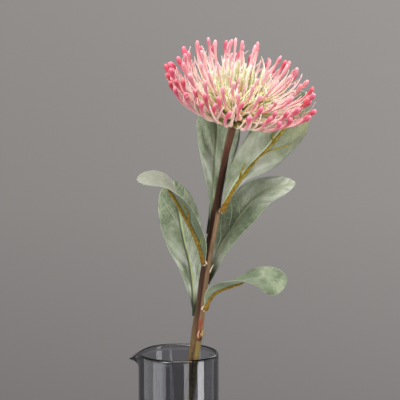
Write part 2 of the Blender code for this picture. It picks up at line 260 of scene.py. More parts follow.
def times(tree, first, *others):
    """The product of all of them."""
    for other in others:
        first = sums(tree, "MULTIPLY", first, other)
    return first


def plus_part(tree, value, part, base):
    """The base plus a part of the value."""
    return sums(tree, "MULTIPLY_ADD", value, part, base)


def stirred(tree, base, texture, amount):
    """The base plus an amount times how far the texture is from its middle, a half."""
    return plus_part(tree, sums(tree, "SUBTRACT", texture, 0.5), amount, base)


def ramp(tree, driver, stops):
    """A colour that runs through the stops, each a place from 0 to 1 and a colour."""
    made = tree.nodes.new("ShaderNodeValToRGB")
    elements = made.color_ramp.elements
    while len(elements) < len(stops):
        elements.new(0.5)
    for element, (place, colour) in zip(elements, stops):
        element.position = place
        element.color = colour
    tree.links.new(driver, made.inputs["Fac"])
    return made.outputs["Color"]


def band(tree, value, low, high, at_low=1.0, at_high=0.0, how="SMOOTHSTEP"):
    """A step from one number to another, smooth or LINEAR, while the value goes from low
    to high."""
    return add(
        tree, "ShaderNodeMapRange", settings={"interpolation_type": how},
        _0=value, _1=low, _2=high, _3=at_low, _4=at_high,
    )


def layer(tree, amount, under, over, blend="MIX"):
    """One colour laid over another, by an amount from 0 to 1."""
    return add(
        tree, "ShaderNodeMix", out=2, settings={"data_type": "RGBA", "blend_type": blend},
        _0=amount, _6=under, _7=over,
    )


# %% [markdown]
# The shader's plain values, such as roughness and sheen, are set once for the whole
# finish. Colour and bump come from nodes. Several small parts need only one noise for
# both, so there is a short way to make those.


# %% Finishes
def new_finish(name, **constants):
    """A material with a Principled shader, its plain values set by name."""
    finish = bpy.data.materials.new(name)
    finish.use_nodes = True
    shader = finish.node_tree.nodes["Principled BSDF"]
    for key, value in constants.items():
        shader.inputs[key.replace("_", " ")].default_value = value
    return finish, finish.node_tree, shader


def set_surface(tree, shader, colour, height=None, relief=0.0):
    """Links the colour, and a bump whose relief is in metres."""
    tree.links.new(colour, shader.inputs["Base Color"])
    if height is not None:
        normal = add(
            tree, "ShaderNodeBump", out="Normal", Strength=1.0, Distance=relief, Height=height
        )
        tree.links.new(normal, shader.inputs["Normal"])


def grainy_finish(name, scale, detail, stops, relief, **constants):
    """A material whose one noise drives both its colour and its bump."""
    finish, tree, shader = new_finish(name, **constants)
    grain = noise(tree, scale, detail)
    set_surface(tree, shader, ramp(tree, grain, stops), grain, relief)
    return finish


print("finishes before any is made:", len(bpy.data.materials))

# %% [markdown]
# ## Camera
#
# The view is from a little above the flower, looking down seven and a half degrees,
# with a long lens from over a metre away, as for a plant portrait. It aims above the
# vase's rim and a little to its right, because the flower leans that way.

# %% Camera
vase_corner = np.array(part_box("vase")[1]) / MM
RIM_HEIGHT = float(vase_corner[2])
VASE_RADIUS = float(vase_corner[0])  # the lip is on the other side
VIEW_DISTANCE = 1140.0
VIEW_DOWN = math.radians(7.5)
VIEW_FIELD = math.radians(15.0)
AIM = np.array([16.3, 0.0, RIM_HEIGHT + 116.6])

lens = bpy.data.cameras.new("portrait_camera")
lens.sensor_width = 36.0
lens.lens = lens.sensor_width / 2 / math.tan(VIEW_FIELD / 2)
camera = bpy.data.objects.new("portrait_camera", lens)
towards = np.array([0.0, math.cos(VIEW_DOWN), -math.sin(VIEW_DOWN)])
camera.location = (AIM - VIEW_DISTANCE * towards) * MM
camera.rotation_euler = (math.pi / 2 - VIEW_DOWN, 0.0, 0.0)
bpy.context.scene.collection.objects.link(camera)
bpy.context.scene.camera = camera
print("camera at", [round(c, 3) for c in camera.location], "lens", round(lens.lens, 1))

# %% [markdown]
# ## Studio
#
# Behind the flower hangs seamless grey paper, a little lighter at the top right. The
# world's colour does that job from every side, and darkens overhead like a ceiling. Low
# lamps stand in an arc from the left over the front to the right, level with the vase,
# because a tall lamp is what draws a long upright highlight down a round glass. A broad
# one above, a key at the upper left and a rim light behind are for the flower. They
# don't show themselves to the camera.

# %% Backdrop
world = bpy.data.worlds.new("grey_paper")
world.use_nodes = True
bpy.context.scene.world = world
sky = world.node_tree
direction = add(sky, "ShaderNodeTexCoord", out="Generated")
split = sky.nodes.new("ShaderNodeSeparateXYZ")
sky.links.new(direction, split.inputs[0])
# Z is the sine of how far up the look is, and X how far it is to the right.
paper_height = band(sky, split.outputs["Z"], -0.26, 0.02, 0.0, 1.0, "LINEAR")
paper = ramp(sky, paper_height, (
    (0.0, tint(127, 124, 123)), (0.45, tint(143, 140, 138)), (1.0, tint(152, 148, 146)),
))
sideways = band(sky, split.outputs["X"], -0.13, 0.13, 0.92, 1.07, "LINEAR")
paper = layer(sky, 1.0, paper, sideways, "MULTIPLY")
ceiling = band(sky, split.outputs["Z"], 0.30, 0.75, 0.0, 1.0, "LINEAR")
paper = layer(sky, ceiling, paper, tint(52, 51, 50))
sky.links.new(paper, sky.nodes["Background"].inputs["Color"])
bpy.context.scene.view_settings.view_transform = "Standard"
print("backdrop nodes:", len(sky.nodes))

# %% [markdown]
# A flat lamp's size decides how soft its light is and how wide its reflection in the
# glass. Its bearing decides how far from the middle that reflection falls: a lamp
# further round shows nearer to the glass's edge, and thinner. So several lamps of
# different widths stand at chosen bearings, and each draws one bright or dim stripe.

# %% Lamps
VASE_LEVEL = (0, 0, -100)
FLOWER_LEVEL = (16, 0, 300)
# Name, bearing, distance and height, width and length, watts, colour, and aim.
LAMPS = (
    ("right_strip", 67, 1100, -100, 420, 600, 5.8, (1.0, 0.99, 0.98), VASE_LEVEL),
    ("right_high", 67, 1100, 520, 300, 500, 2.5, (1.0, 0.99, 0.98), (0, 0, 200)),
    ("right_fill", 100, 1100, -100, 700, 600, 0.55, (0.98, 0.99, 1.0), VASE_LEVEL),
    ("right_line", 116, 1100, -100, 110, 600, 0.12, (0.98, 0.99, 1.0), VASE_LEVEL),
    ("left_strip", -56, 1100, -100, 800, 600, 3.7, (0.98, 0.99, 1.0), VASE_LEVEL),
    ("left_fill", -91, 1100, -100, 980, 600, 2.4, (1.0, 1.0, 1.0), VASE_LEVEL),
    ("front_fill", 23, 1100, -100, 270, 600, 2.0, (1.0, 0.99, 1.0), VASE_LEVEL),
    ("top_soft", 25, 450, 1400, 900, 900, 26.0, (1.0, 0.99, 0.97), FLOWER_LEVEL),
    ("left_key", -42, 1100, 800, 500, 500, 9.0, (0.99, 1.0, 1.0), FLOWER_LEVEL),
    ("back_rim", 150, 1200, 900, 600, 600, 4.0, (1.0, 1.0, 1.0), FLOWER_LEVEL),
)


def lamp(name, bearing, distance, height, width, tall, watts, colour, aim):
    """A flat lamp on a circle round the vase. The bearing is measured from the camera's
    side, positive to the right. Its face turns to the aim."""
    bulb = bpy.data.lights.new(name, "AREA")
    bulb.shape = "RECTANGLE"
    bulb.size, bulb.size_y = width * MM, tall * MM
    bulb.energy = watts
    bulb.color = colour
    stand = bpy.data.objects.new(name, bulb)
    turn = math.radians(bearing)
    place = np.array([distance * math.sin(turn), -distance * math.cos(turn), height])
    stand.location = place * MM
    look = Vector(np.array(aim) - place)
    stand.rotation_euler = look.to_track_quat("-Z", "Y").to_euler()
    stand.visible_camera = False
    bpy.context.scene.collection.objects.link(stand)


for row in LAMPS:
    lamp(*row)
print("lamps:", len(LAMPS))

# %% [markdown]
# The floor is a plain pale disc that only just clears the foot of the vase. It is part
# of the stage, not of the object.

# %% Floor
FLOOR_RADIUS = 450.0
FLOOR_HEIGHTS = (-4.0, -0.05)  # its underside, and its top just under the vase
FLOOR_SIDES = 96
floor_finish, tree, shader = new_finish("pale_floor", Roughness=0.6)
set_surface(tree, shader, ramp(tree, noise(tree, 12.0), (
    (0.3, tint(150, 148, 146)), (0.7, tint(158, 156, 153)),
)))
floor_turn = full_turn(FLOOR_SIDES)
floor_grid = np.stack([
    np.stack([
        FLOOR_RADIUS * np.cos(floor_turn), FLOOR_RADIUS * np.sin(floor_turn),
        np.full(FLOOR_SIDES, height),
    ], axis=-1)
    for height in FLOOR_HEIGHTS
])
skin("pale_floor", floor_grid, floor_finish)

# %% [markdown]
# ## Vase
#
# The vase is a drawn tube of grey glass with a thick foot. Its rim is melted to a round
# bead, and a lip was pulled out of it while it was soft. One section is turned round
# the axis, and the lip then moves the points near it. Seen from above, the lip's far
# side follows the tangent from its tip to the rim. Its near side is steeper. Both grow
# less with the way down from the rim, until the wall is round again.

# %% Vase section
VASE_WALL = 2.4
VASE_FLOOR = 8.0
FOOT_ROUNDING = 3.0
RIM_BEAD = np.array([1.45, 2.3])  # half its width and half its height
BEAD_END = 220  # degrees round the bead at which it meets the inside wall
LIP_DEPTH = 13.0
AXIS_HOLE = 2.0  # radius at which the foot's and the floor's flat ends close


def arc(centre, radius, start, end, count):
    """Points of an arc in the plane of radius and height, its angles in degrees."""
    angle = np.radians(np.linspace(start, end, count))
    return np.stack([centre[0] + radius * np.cos(angle), centre[1] + radius * np.sin(angle)], 1)


def vase_outline():
    """Radius and height, from the foot up the outside and down the inside. The rows of
    the wall are far apart where it is straight and close where the lip bends it. The
    bead is an oval that stands a little proud of the wall on the inside."""
    inner = VASE_RADIUS - VASE_WALL
    wall = np.concatenate([
        np.linspace(FOOT_ROUNDING + 4, RIM_HEIGHT - LIP_DEPTH - 2, 8),
        np.linspace(RIM_HEIGHT - LIP_DEPTH, RIM_HEIGHT - 2.0 * RIM_BEAD[1], 16),
    ])
    bead = arc((0.0, 0.0), 1.0, 0, BEAD_END, 31) * RIM_BEAD
    wall_in = wall[wall > VASE_FLOOR + FOOT_ROUNDING + 2][::-1]
    return np.vstack([
        [[AXIS_HOLE, 0.0], [VASE_RADIUS * 0.5, 0.0]],
        arc((VASE_RADIUS - FOOT_ROUNDING, FOOT_ROUNDING), FOOT_ROUNDING, -90, 0, 9),
        np.stack([np.full(len(wall), VASE_RADIUS), wall], 1),
        bead + (VASE_RADIUS, RIM_HEIGHT) - RIM_BEAD,
        np.stack([np.full(len(wall_in), inner), wall_in], 1),
        arc((inner - FOOT_ROUNDING, VASE_FLOOR + FOOT_ROUNDING), FOOT_ROUNDING, 0, -90, 9),
        [[inner * 0.5, VASE_FLOOR], [AXIS_HOLE, VASE_FLOOR]],
    ])


def turned(outline, steps):
    """The outline carried round the upright axis."""
    turn = full_turn(steps)
    radius, up = outline[:, :1], outline[:, 1:]
    return np.stack([radius * np.cos(turn), radius * np.sin(turn), up + 0 * turn], axis=-1)


print("vase section:", len(vase_outline()), "points, radius", round(VASE_RADIUS, 1))

# %% [markdown]
# A lip is made by pressing soft glass outwards and down at one place while it is held
# on both sides of it. Moving the points of the turned grid by a formula does the same:
# no seam shows, and both faces of the wall follow.

# %% Vase lip
LIP_BEARING = math.radians(176.0)
LIP_REACH = 12.0
LIP_DROP = 8.2
LIP_THICKENS = 0.32
LIP_FRONT_STEEPER = 3.0
LIP_TIP_ROUNDING = math.radians(5)
LIP_FADE = 1.9
VASE_STEPS = 360


def with_lip(grid):
    """Near the lip each point moves out by the tangent's distance less the radius, and
    down in proportion. On the near side this grows three times as quickly towards the
    tip. Both fade with the 1.9th power of the way down from the rim. The inside moves a
    third less than the outside, so the lip is thicker than the wall."""
    x, y, z = np.moveaxis(grid, -1, 0)
    share = np.clip((z - RIM_HEIGHT + LIP_DEPTH) / LIP_DEPTH, 0, 1)
    spread = math.acos(VASE_RADIUS / (VASE_RADIUS + LIP_REACH))
    turn = np.arctan2(y, x) - LIP_BEARING
    turn = (turn + math.pi) % (2 * math.pi) - math.pi
    turn = np.hypot(np.where(turn > 0, LIP_FRONT_STEEPER, 1.0) * turn, LIP_TIP_ROUNDING)
    radius = np.hypot(x, y)
    inside = np.clip((VASE_RADIUS - radius) / VASE_WALL, 0, 1)
    out = VASE_RADIUS / np.cos(np.clip(spread - turn, 0, None)) - VASE_RADIUS
    out = out * (1 - LIP_THICKENS * inside)
    bend = share**LIP_FADE
    scale = (radius + out * bend) / radius
    return np.stack([x * scale, y * scale, z - LIP_DROP * out / LIP_REACH * bend], axis=-1)


lip_grid = with_lip(turned(vase_outline(), VASE_STEPS))
print("the vase with its lip starts at x =", lip_grid[..., 0].min().round(2))

# %% [markdown]
# Smoked glass has no colour on its surface. It takes away light on the way through, so
# the rim, the thick foot and the edges, where the way is long, turn almost black. That
# is a volume that absorbs, and it takes a little less of the blue than of the red.

# %% Smoked glass
glass, tree, shader = new_finish(
    "smoked_glass", Roughness=0.0, IOR=1.5, Transmission_Weight=1.0,
    Base_Color=(1.0, 1.0, 1.0, 1.0),
)
smoke = add(
    tree, "ShaderNodeVolumeAbsorption", out="Volume",
    Color=(0.462, 0.468, 0.515, 1.0), Density=600.0,
)
tree.links.new(smoke, tree.nodes["Material Output"].inputs["Volume"])
vase = skin("vase_glass", lip_grid, glass)
belongs(vase, "smoked_glass", "vase")

# %% [markdown]
# ## Stem
#
# A pincushion's stem is woody and nearly straight. It stands on the vase's floor, leans
# on the inside of the rim and rises to the flower. Its middle line is a smooth curve
# through a few points, and its thickness a radius at a few heights. The point at the rim
# isn't set by hand: it is worked out, so that the bark just clears the glass.

# %% Stem line
STEM_CUT = (-14.0, -12.5, VASE_FLOOR + GAP)
STEM_IN_VASE = (-1.0, -16.0, 100.0)
STEM_LEAN_BEARING = math.radians(-61.0)
STEM_ABOVE = (
    (15.0, -21.3, 215.0), (18.2, -21.3, 242.0), (21.0, -21.2, 261.0), (27.5, -22.0, 298.0),
    (34.4, -25.0, 339.0), (38.1, -28.0, 356.0), (41.2, -31.5, 368.5),
)
# Height and radius: it swells at the bud's scar and under the leaves.
STEM_RADII = (
    (0, 4.2), (190, 4.1), (204, 4.2), (210, 4.4), (219, 4.0), (228, 3.7), (240, 3.5),
    (260, 3.6), (280, 3.0), (301, 3.4), (312, 2.6), (345, 2.5), (368, 3.0),
)


def stem_radius(height):
    """The radius between the set heights, in straight steps."""
    heights, radii = zip(*STEM_RADII)
    return np.interp(height, heights, radii)


RIM_CLEARANCE = GAP + 0.1
rim_inside = VASE_RADIUS - VASE_WALL - RIM_CLEARANCE - stem_radius(RIM_HEIGHT)
STEM_AT_RIM = (
    rim_inside * math.cos(STEM_LEAN_BEARING), rim_inside * math.sin(STEM_LEAN_BEARING),
    RIM_HEIGHT,
)
STEM_LINE = smooth_curve((STEM_CUT, STEM_IN_VASE, STEM_AT_RIM, *STEM_ABOVE), 420)
print("stem at the rim:", np.round(STEM_AT_RIM, 1))

# %% [markdown]
# Leaves, bud and scar sit on the stem, so they are placed by a height and a bearing
# round it. If the stem is bent another way, they go along with it. Bearings are counted
# from the right, and go round by the back.


# %% Places on the stem
def stem_centre(height):
    """The point of the stem's middle line at a height."""
    place = [np.interp(height, STEM_LINE[:, 2], STEM_LINE[:, k]) for k in range(2)]
    return np.array([*place, height])


def beside_stem(height, bearing, distance):
    """A point that far from the stem's surface, at a height and a bearing in degrees."""
    angle = math.radians(bearing)
    out = np.array([math.cos(angle), math.sin(angle), 0.0])
    return stem_centre(height) + (stem_radius(height) + distance) * out


# Where each leaf leaves the stem: its height and its bearing in degrees.
LEAF_BASES = {
    "leaf_upper_left": (284, 139), "leaf_upper_right": (302, -27),
    "leaf_middle_right": (246, 37), "leaf_middle_left": (263, -114),
    "leaf_lower_left": (222, 152), "leaf_lower_right": (229, -53),
}


def around(angle, bearing, spread):
    """A bump of height 1 round a bearing: the exponential of less the square of the
    angle between them over the spread."""
    off = (angle - math.radians(bearing) + math.pi) % (2 * math.pi) - math.pi
    return np.exp(-((off / spread) ** 2))


print("leaves start at", sorted(height for height, _ in LEAF_BASES.values()), "mm")

# %% [markdown]
# The head is tipped forward and to the right on the stem's end, so the last ring of the
# stem is turned to be square to the head. A woody stem is thicker under each leaf, on
# that leaf's side, and its bark is finely wrinkled. Both are small changes of the radius
# with the bearing and the height, and the bark's colours can be fields of the same two.

# %% Stem surface
HEAD_TIPS_FORWARD = 24.6
HEAD_TIPS_RIGHT = 8.2
head_turn = (
    Matrix.Rotation(math.radians(HEAD_TIPS_RIGHT), 3, "Y")
    @ Matrix.Rotation(math.radians(HEAD_TIPS_FORWARD), 3, "X")
)
HEAD_TURN = np.array(head_turn)
HEAD_BASE = np.array(STEM_ABOVE[-1])
SWELLING = 0.45
SWELLING_WIDE = 0.75
SWELLING_LONG = 22.0
WRINKLE = 0.05


def stem_grid(sides=48):
    """Rings along the middle line. The radius is a little less than the stem's, plus
    swellings below the leaves that fade downwards, plus fine wrinkles."""
    tangent = unit(np.gradient(STEM_LINE, axis=0))
    tangent[-1] = HEAD_TURN[:, 2]
    side = unit(np.cross(tangent, (0.0, 1.0, 0.0)))
    front = np.cross(side, tangent)
    angle = full_turn(sides)[None, :]
    height = STEM_LINE[:, 2][:, None]
    # The ring starts along "side", which points to -X: the bearing is the angle turned.
    bearing = math.pi - angle
    swell = np.zeros((len(STEM_LINE), sides))
    for leaf_height, leaf_bearing in LEAF_BASES.values():
        below = np.clip(leaf_height - height, 0, None)
        fade = np.exp(-below / SWELLING_LONG) * ease(leaf_height + 3.0, leaf_height - 1.0, height)
        swell = np.maximum(swell, around(bearing, leaf_bearing, SWELLING_WIDE) * fade)
    wrinkle = np.sin(7 * bearing + 0.31 * height) * np.sin(0.53 * height + 2 * bearing)
    radius = stem_radius(height) * 0.97 + SWELLING * swell + WRINKLE * wrinkle
    grid = rings(STEM_LINE, side, front, radius, sides)
    grid[0, :, 2] = STEM_CUT[2]
    return grid, bearing + 0 * height, height + 0 * angle


stem_points, stem_bearing, stem_height = stem_grid()
print("stem rings:", stem_points.shape[:2])


# %% [markdown]
# The bark is dark red-brown near the flower. Further down, the sides that face the lamps are
# painted light, tan going to olive, and the other side is a dull brown, with a thin dark red
# seam between.
# Each colour is a field: a bump round a bearing, times a step or a bump in height.

# %% Bark colours
# Tan: painted light on the side towards the right-hand lamps, up to 300 mm, and on a strip far
# round to the left, towards the left-hand lamps, that comes in below 262 mm, and a broader one
# below 212 mm. A faint tan above 300 mm, more further up, with painted light on its left edge.
painted_lit_side = ease(-0.05, 0.35, np.cos(stem_bearing - math.radians(-8)))
upper = ease(297, 305, stem_height)
tan_and_painted_light = painted_lit_side * ease(305, 297, stem_height)
tan_and_painted_light = tan_and_painted_light + 0.4 * around(stem_bearing, -165, 0.6) * ease(262, 225, stem_height)
tan_and_painted_light = tan_and_painted_light + 0.25 * around(stem_bearing, -140, 0.7) * ease(212, 196, stem_height)
tan_and_painted_light = tan_and_painted_light + upper * (
    0.1 + 0.5 * ease(322, 358, stem_height) + 0.4 * around(stem_bearing, -160, 0.5)
)
olive = ease(232, 200, stem_height)
flush = ease(300, 312, stem_height)
# The seam between the two sides is one thin line, darker and paler by turns.
seam = around(stem_bearing, -97, 0.17) * (0.7 + 0.3 * np.sin(stem_height * 0.45))
seam = seam * ease(306, 296, stem_height)


def blotch(bearing, height, wide, tall):
    """A soft oval patch on the bark: a bump round the bearing times one in height."""
    return around(stem_bearing, bearing, wide) * np.exp(-(((stem_height - height) / tall) ** 2))


red = blotch(-70, 217.5, 0.42, 4.0) + blotch(-62, 209, 0.45, 4.0)
red = np.clip(red + 0.5 * blotch(-30, 221, 0.3, 2.5), 0, 1)
# Dark: painted shade under the bud and beside it, and a dark streak of the bark
# that winds down to the rim.
shade_line = blotch(-62, 205.4, 0.6, 0.9) + blotch(-34, 207.0, 0.35, 1.6)
streak = around(stem_bearing + 0.035 * (stem_height - 192), -108, 0.2)
streak = streak * ease(203, 192, stem_height) * (0.6 + 0.4 * np.sin(1.3 * stem_height))
shade_line = np.clip(shade_line + 0.8 * streak, 0, 1)

print("tan from", tan_and_painted_light.min().round(2), "to", tan_and_painted_light.max().round(2))

# %% [markdown]
# Coarse grain stirs the tan and olive colours, and finer specks darken them. Stains, the
# seam, the red blotches by the bud, and the dark lines, which are painted shade under the bud
# and a dark streak below it, are laid over in that order.

# %% Bark finish
bark, tree, shader = new_finish("bark", Roughness=0.62, Specular_IOR_Level=0.2)
grain = noise(tree, 420.0, 5.0, (1.0, 1.0, 0.25))
specks = noise(tree, 1300.0, 3.0, (1.0, 1.0, 0.5))
stains = band(tree, noise(tree, 190.0, 4.0, (1.0, 1.0, 0.4)), 0.5, 0.68, 0.0, 1.0)
# The tan field drives the colour: on the sides that face the lamps it is painted light.
driver = stirred(tree, field(tree, "tan"), grain, 0.5)
colour = ramp(tree, driver, (
    (0.05, tint(60, 36, 22)), (0.3, tint(84, 60, 42)), (0.65, tint(126, 98, 72)),
    (0.95, tint(148, 120, 90)),
))
olive_colour = ramp(tree, driver, (
    (0.05, tint(104, 82, 54)), (0.5, tint(120, 100, 58)), (0.95, tint(128, 112, 62)),
))
colour = layer(tree, field(tree, "olive"), colour, olive_colour)
colour = layer(tree, field(tree, "flush"), colour, ramp(tree, driver, (
    (0.1, tint(52, 28, 16)), (0.5, tint(86, 50, 34)), (0.9, tint(124, 88, 66)),
)))
colour = layer(tree, times(tree, stains, 0.45), colour, tint(88, 60, 40))
colour = layer(tree, field(tree, "seam"), colour, tint(64, 28, 16))
colour = layer(tree, field(tree, "red"), colour, tint(140, 48, 40))
# Painted shade under the bud, with the bark's dark streak below it.
colour = layer(tree, field(tree, "shade_line"), colour, tint(48, 22, 18))
colour = layer(tree, times(tree, specks, 0.35), colour, tint(60, 44, 34), "MULTIPLY")
set_surface(tree, shader, colour, sums(tree, "ADD", grain, specks), 0.0004)
stem = skin(
    "stem_bark", stem_points, bark, tan=tan_and_painted_light, olive=olive, flush=flush,
    seam=0.85 * seam, red=0.85 * red, shade_line=shade_line,
)
belongs(stem, "bark", "stem")

# %% [markdown]
# ## Leaves
#
# A leaf is a long paddle that narrows to its stalk. Each one is bent and twisted its own
# way, and that is what tells them apart. A midrib curve gives the bend, a direction that
# the upper face looks in gives the twist, and two half widths give the outline. The
# blade is then folded along the midrib, cupped between midrib and margin, and waved.

# %% Blade and veins
PETIOLE_HALF = 1.3
SUNK = 0.35  # of a leaf's stalk or a bud into the bark
BLADE_HALF = 0.34
FOLD_ROUNDING = 1.2
# Side veins: the gap between two, how far they lean and bend towards the tip, the shift
# from one side to the other, and two sines along the leaf, each a size and a speed.
VEIN_STEP = 14.0
VEIN_LEAN = 1.75
VEIN_BEND = 0.03
VEIN_SHIFT = 0.45
VEIN_TURN = 1.3
VEIN_SINES = ((0.22, 0.11), (0.12, 0.31))
print("a blade is", 2 * BLADE_HALF, "mm thick at its midrib")

# %% [markdown]
# What differs from leaf to leaf stands in one table, so that the formulas can be the
# same for all six.
#
# Below, t is the share of the way along the midrib and share the share of the way out to
# the margin, from -1 on one side to 1 on the other. A pair is for the minus side and the
# plus side. Three numbers are for the base, a little past the middle, and the tip.
#
# - midrib: the points it runs through. faces: where the upper face looks.
# - half_widths: the widest half width. belly: larger puts the widest part nearer the
#   tip. tip: smaller makes the end blunter. fold: degrees that each half is raised.
# - cup: how far the arch rises. wave: how far each margin waves, how often, and where it
#   starts. relief: the pillows between veins. buckle: a slow swell over the whole blade.
# - tone and back: painted light and shade on the upper face and on the underside, at four
#   places. patches: a place t and share, and how much lighter it is there: painted light,
#   and painted shade where the number is below 0.
# - ripe: painted shade, olive and darker towards the tip, which lies behind the head.
#   downy: grey hairs near the tip. fresh: how yellow-green the midrib is near the base.
#   stalk: how dark the foot is, painted shade where the stalk joins the stem at its back.
# - veined: how clear the side veins are. rib: the pale midrib on the upper face and on
#   the underside. lined: the line beside it, painted shade on top and a painted highlight
#   underneath. hem: how pale the margin is.

# %% The six leaves
PLAIN_LEAF = {
    "back": (-0.2, -0.2, -0.2, 0.0), "painted_light_patches": (), "ripe": 0.0, "downy": 0.0,
    "lined": 0.0, "hem": 1.0, "stalk": 0.0,
}
LEAVES = (
    {
        "name": "leaf_upper_left",
        "midrib": ((24, -15, 298), (26.5, -13, 315), (28, -9, 340), (29.5, 0, 363), (30, 10, 382)),
        "faces": ((0.1, -1, 0.1), (0, -1, 0.15), (0, -0.9, 0.4)),
        "half_widths": (16.2, 17.3), "belly": (2.4, 2.0), "tip": (0.7, 0.85),
        "fold": (10, 12, 12), "cup": (1.0, -0.8), "wave": (0.8, 1.2, 2.0, 0.3),
        "relief": 0.5, "buckle": 2.0,
        "tone": (0.45, 0.75, 0.3, -0.1), "painted_light_patches": ((0.65, -0.6, -0.3), (0.4, 0.5, 0.2)),
        "fresh": 0.2, "stalk": 1.0, "veined": 0.9, "rib": (0.9, 0.0), "lined": 0.4,
    },
    {
        "name": "leaf_upper_right",
        "midrib": (
            (38.4, -28, 314.4), (45.6, -27, 327), (59.6, -22, 341), (76.4, -10, 358.4),
            (98, 10, 384),
        ),
        "faces": ((-0.3, 0.9, 0.2), (-0.3, 0.9, 0.2), (-0.3, 0.8, 0.5)),
        "half_widths": (23.0, 22.0), "belly": (2.2, 1.7), "tip": (0.58, 0.6),
        "fold": (20, 10, 4), "cup": (-2.0, -1.2), "wave": (2.0, 1.0, 2.2, 0.1),
        "relief": 0.18, "buckle": 3.2,
        "tone": (0.2, 0.2, 0.2, 0.2), "back": (-0.2, 0.25, -0.5, -1.4),
        "painted_light_patches": (
            (0.31, -0.65, 1.3), (0.18, -0.3, -1.0), (0.5, 0.4, 0.4), (0.47, -0.35, 0.5),
            (0.15, 0.5, 0.4), (0.72, -0.7, -0.4),
        ),
        "ripe": 0.7, "fresh": 0.9, "veined": 0.4, "rib": (0.9, 0.0), "lined": 1.0, "hem": 1.6,
    },
    {
        "name": "leaf_middle_right",
        "midrib": ((27, -15, 260), (34, -12, 277), (46, -8, 295), (62, -6, 311), (87, -12, 321)),
        "faces": ((-0.5, -0.9, 0.1), (-0.3, -0.9, 0.3), (-0.1, -0.7, 0.7)),
        "half_widths": (15.3, 13.0), "belly": (0.98, 1.35), "tip": (0.55, 0.5),
        "fold": (30, 18, 10), "cup": (1.2, 1.2), "wave": (1.0, 0.8, 1.6, 0.6),
        "relief": 0.4, "buckle": 1.6,
        "tone": (0.7, -0.25, 0.25, 0.45), "back": (-0.2, -0.2, 0.0, 0.2),
        "painted_light_patches": ((0.25, 0.4, 0.5), (0.6, -0.6, -0.6)),
        "fresh": 0.1, "stalk": 1.0, "veined": 1.1, "rib": (0.8, 0.0), "lined": 0.35,
    },
    {
        "name": "leaf_middle_left",
        "midrib": (
            (15.5, -30, 278), (7, -36, 297), (-3, -42, 316), (-12, -46, 326), (-29, -50, 328),
        ),
        "faces": ((0.6, 0.8, 0.0), (0.6, 0.1, 0.8), (0.1, -0.7, 0.7)),
        "half_widths": (11.2, 10.6), "belly": (1.25, 1.35), "tip": (0.55, 0.45),
        "fold": (40, 25, 8), "cup": (1.0, 0.6), "wave": (0.6, 0.4, 2.0, 0.4),
        "relief": 0.08, "buckle": 0.4,
        "tone": (0.0, -0.1, -0.35, -0.4), "back": (-1.65, -1.95, -1.35, -0.4), "downy": 0.75,
        "fresh": 0.3, "veined": 0.35, "rib": (0.12, 0.0), "hem": 2.0,
    },
    {
        "name": "leaf_lower_left",
        "midrib": (
            (11.5, -15.5, 238), (9.5, -13, 258), (4.5, -10, 279), (0.5, -6, 300), (-4, 2, 321),
        ),
        "faces": ((0.2, -1, 0.1), (0, -1, 0.2), (0, -0.9, 0.4)),
        "half_widths": (16.0, 15.0), "belly": (1.9, 1.4), "tip": (0.55, 0.7),
        "fold": (15, 12, 10), "cup": (1.4, 1.0), "wave": (1.0, 0.8, 2.0, 0.0),
        "relief": 0.4, "buckle": 1.8,
        "tone": (1.55, 0.65, -0.25, -0.5), "painted_light_patches": ((0.42, 0.5, -0.9), (0.28, -0.7, -0.9)),
        "fresh": 0.9, "stalk": 1.0, "veined": 1.1, "rib": (0.85, 0.0), "lined": 0.8,
    },
    {
        "name": "leaf_lower_right",
        "midrib": ((25, -29, 239), (33, -32, 245), (46, -35, 250), (60, -37, 255), (80, -38, 252)),
        "faces": ((-0.4, 0.7, 0.5), (0.0, -0.2, 1.0), (0.1, -0.95, 0.3)),
        "half_widths": (9.0, 18.4), "belly": (1.9, 1.7), "tip": (0.5, 0.55),
        "fold": (35, 25, 8), "cup": (1.0, 1.4), "wave": (0.5, 0.8, 2.0, 0.7),
        "relief": 0.04, "buckle": 0.5,
        "tone": (-0.3, -0.35, -0.6, -0.6), "back": (-0.3, -0.3, -0.3, -0.3),
        "fresh": 0.5, "veined": 0.2, "rib": (0.15, 0.0),
    },
)
LEAVES = tuple(PLAIN_LEAF | leaf for leaf in LEAVES)
print("leaves:", [leaf["name"] for leaf in LEAVES])

# %% [markdown]
# The midrib is a curve through the set points, starting a little way inside the bark so
# that the leaf looks grown on. At each of its points stand two more directions: across
# the blade, and out of its upper face.

# %% Leaf frame
THREE_PLACES = (0, 0.55, 1)
FOUR_PLACES = (0.1, 0.45, 0.8, 1)


def leaf_frame(leaf, t):
    """The midrib's point, the direction across the blade and the upper face's direction,
    at a share t of the midrib's length."""
    start = beside_stem(*LEAF_BASES[leaf["name"]], PETIOLE_HALF - SUNK)
    line = smooth_curve((start, *leaf["midrib"]), 240)
    tangent = unit(np.gradient(line, axis=0))
    place = np.linspace(0, 1, len(line))
    faces = np.array(leaf["faces"], float)
    face = np.stack([np.interp(place, THREE_PLACES, faces[:, k]) for k in range(3)], axis=1)
    across = unit(np.cross(tangent, face))
    up = np.cross(across, tangent)
    return [
        np.stack([np.interp(t, place, table[:, k]) for k in range(3)], axis=-1)
        for table in (line, across, up)
    ]


def leaf_length(leaf):
    """The midrib's length in millimetres."""
    line = leaf_frame(leaf, np.linspace(0, 1, 200))[0]
    return float(np.linalg.norm(np.diff(line, axis=0), axis=1).sum())


print("leaf lengths:", [round(leaf_length(leaf)) for leaf in LEAVES])


# %% [markdown]
# The outline is one formula with a different belly and tip on each side, because no
# leaf is quite even. Side veins are a pattern along the midrib that is bent forward by
# the way out from it. The same pattern raises the pillows and draws the pale lines.


# %% Leaf outline and veins
SINE_END = 0.965  # how much of the half turn the sine goes through
ROUNDED_PART = 0.1
ROUNDING_POWER = 0.4


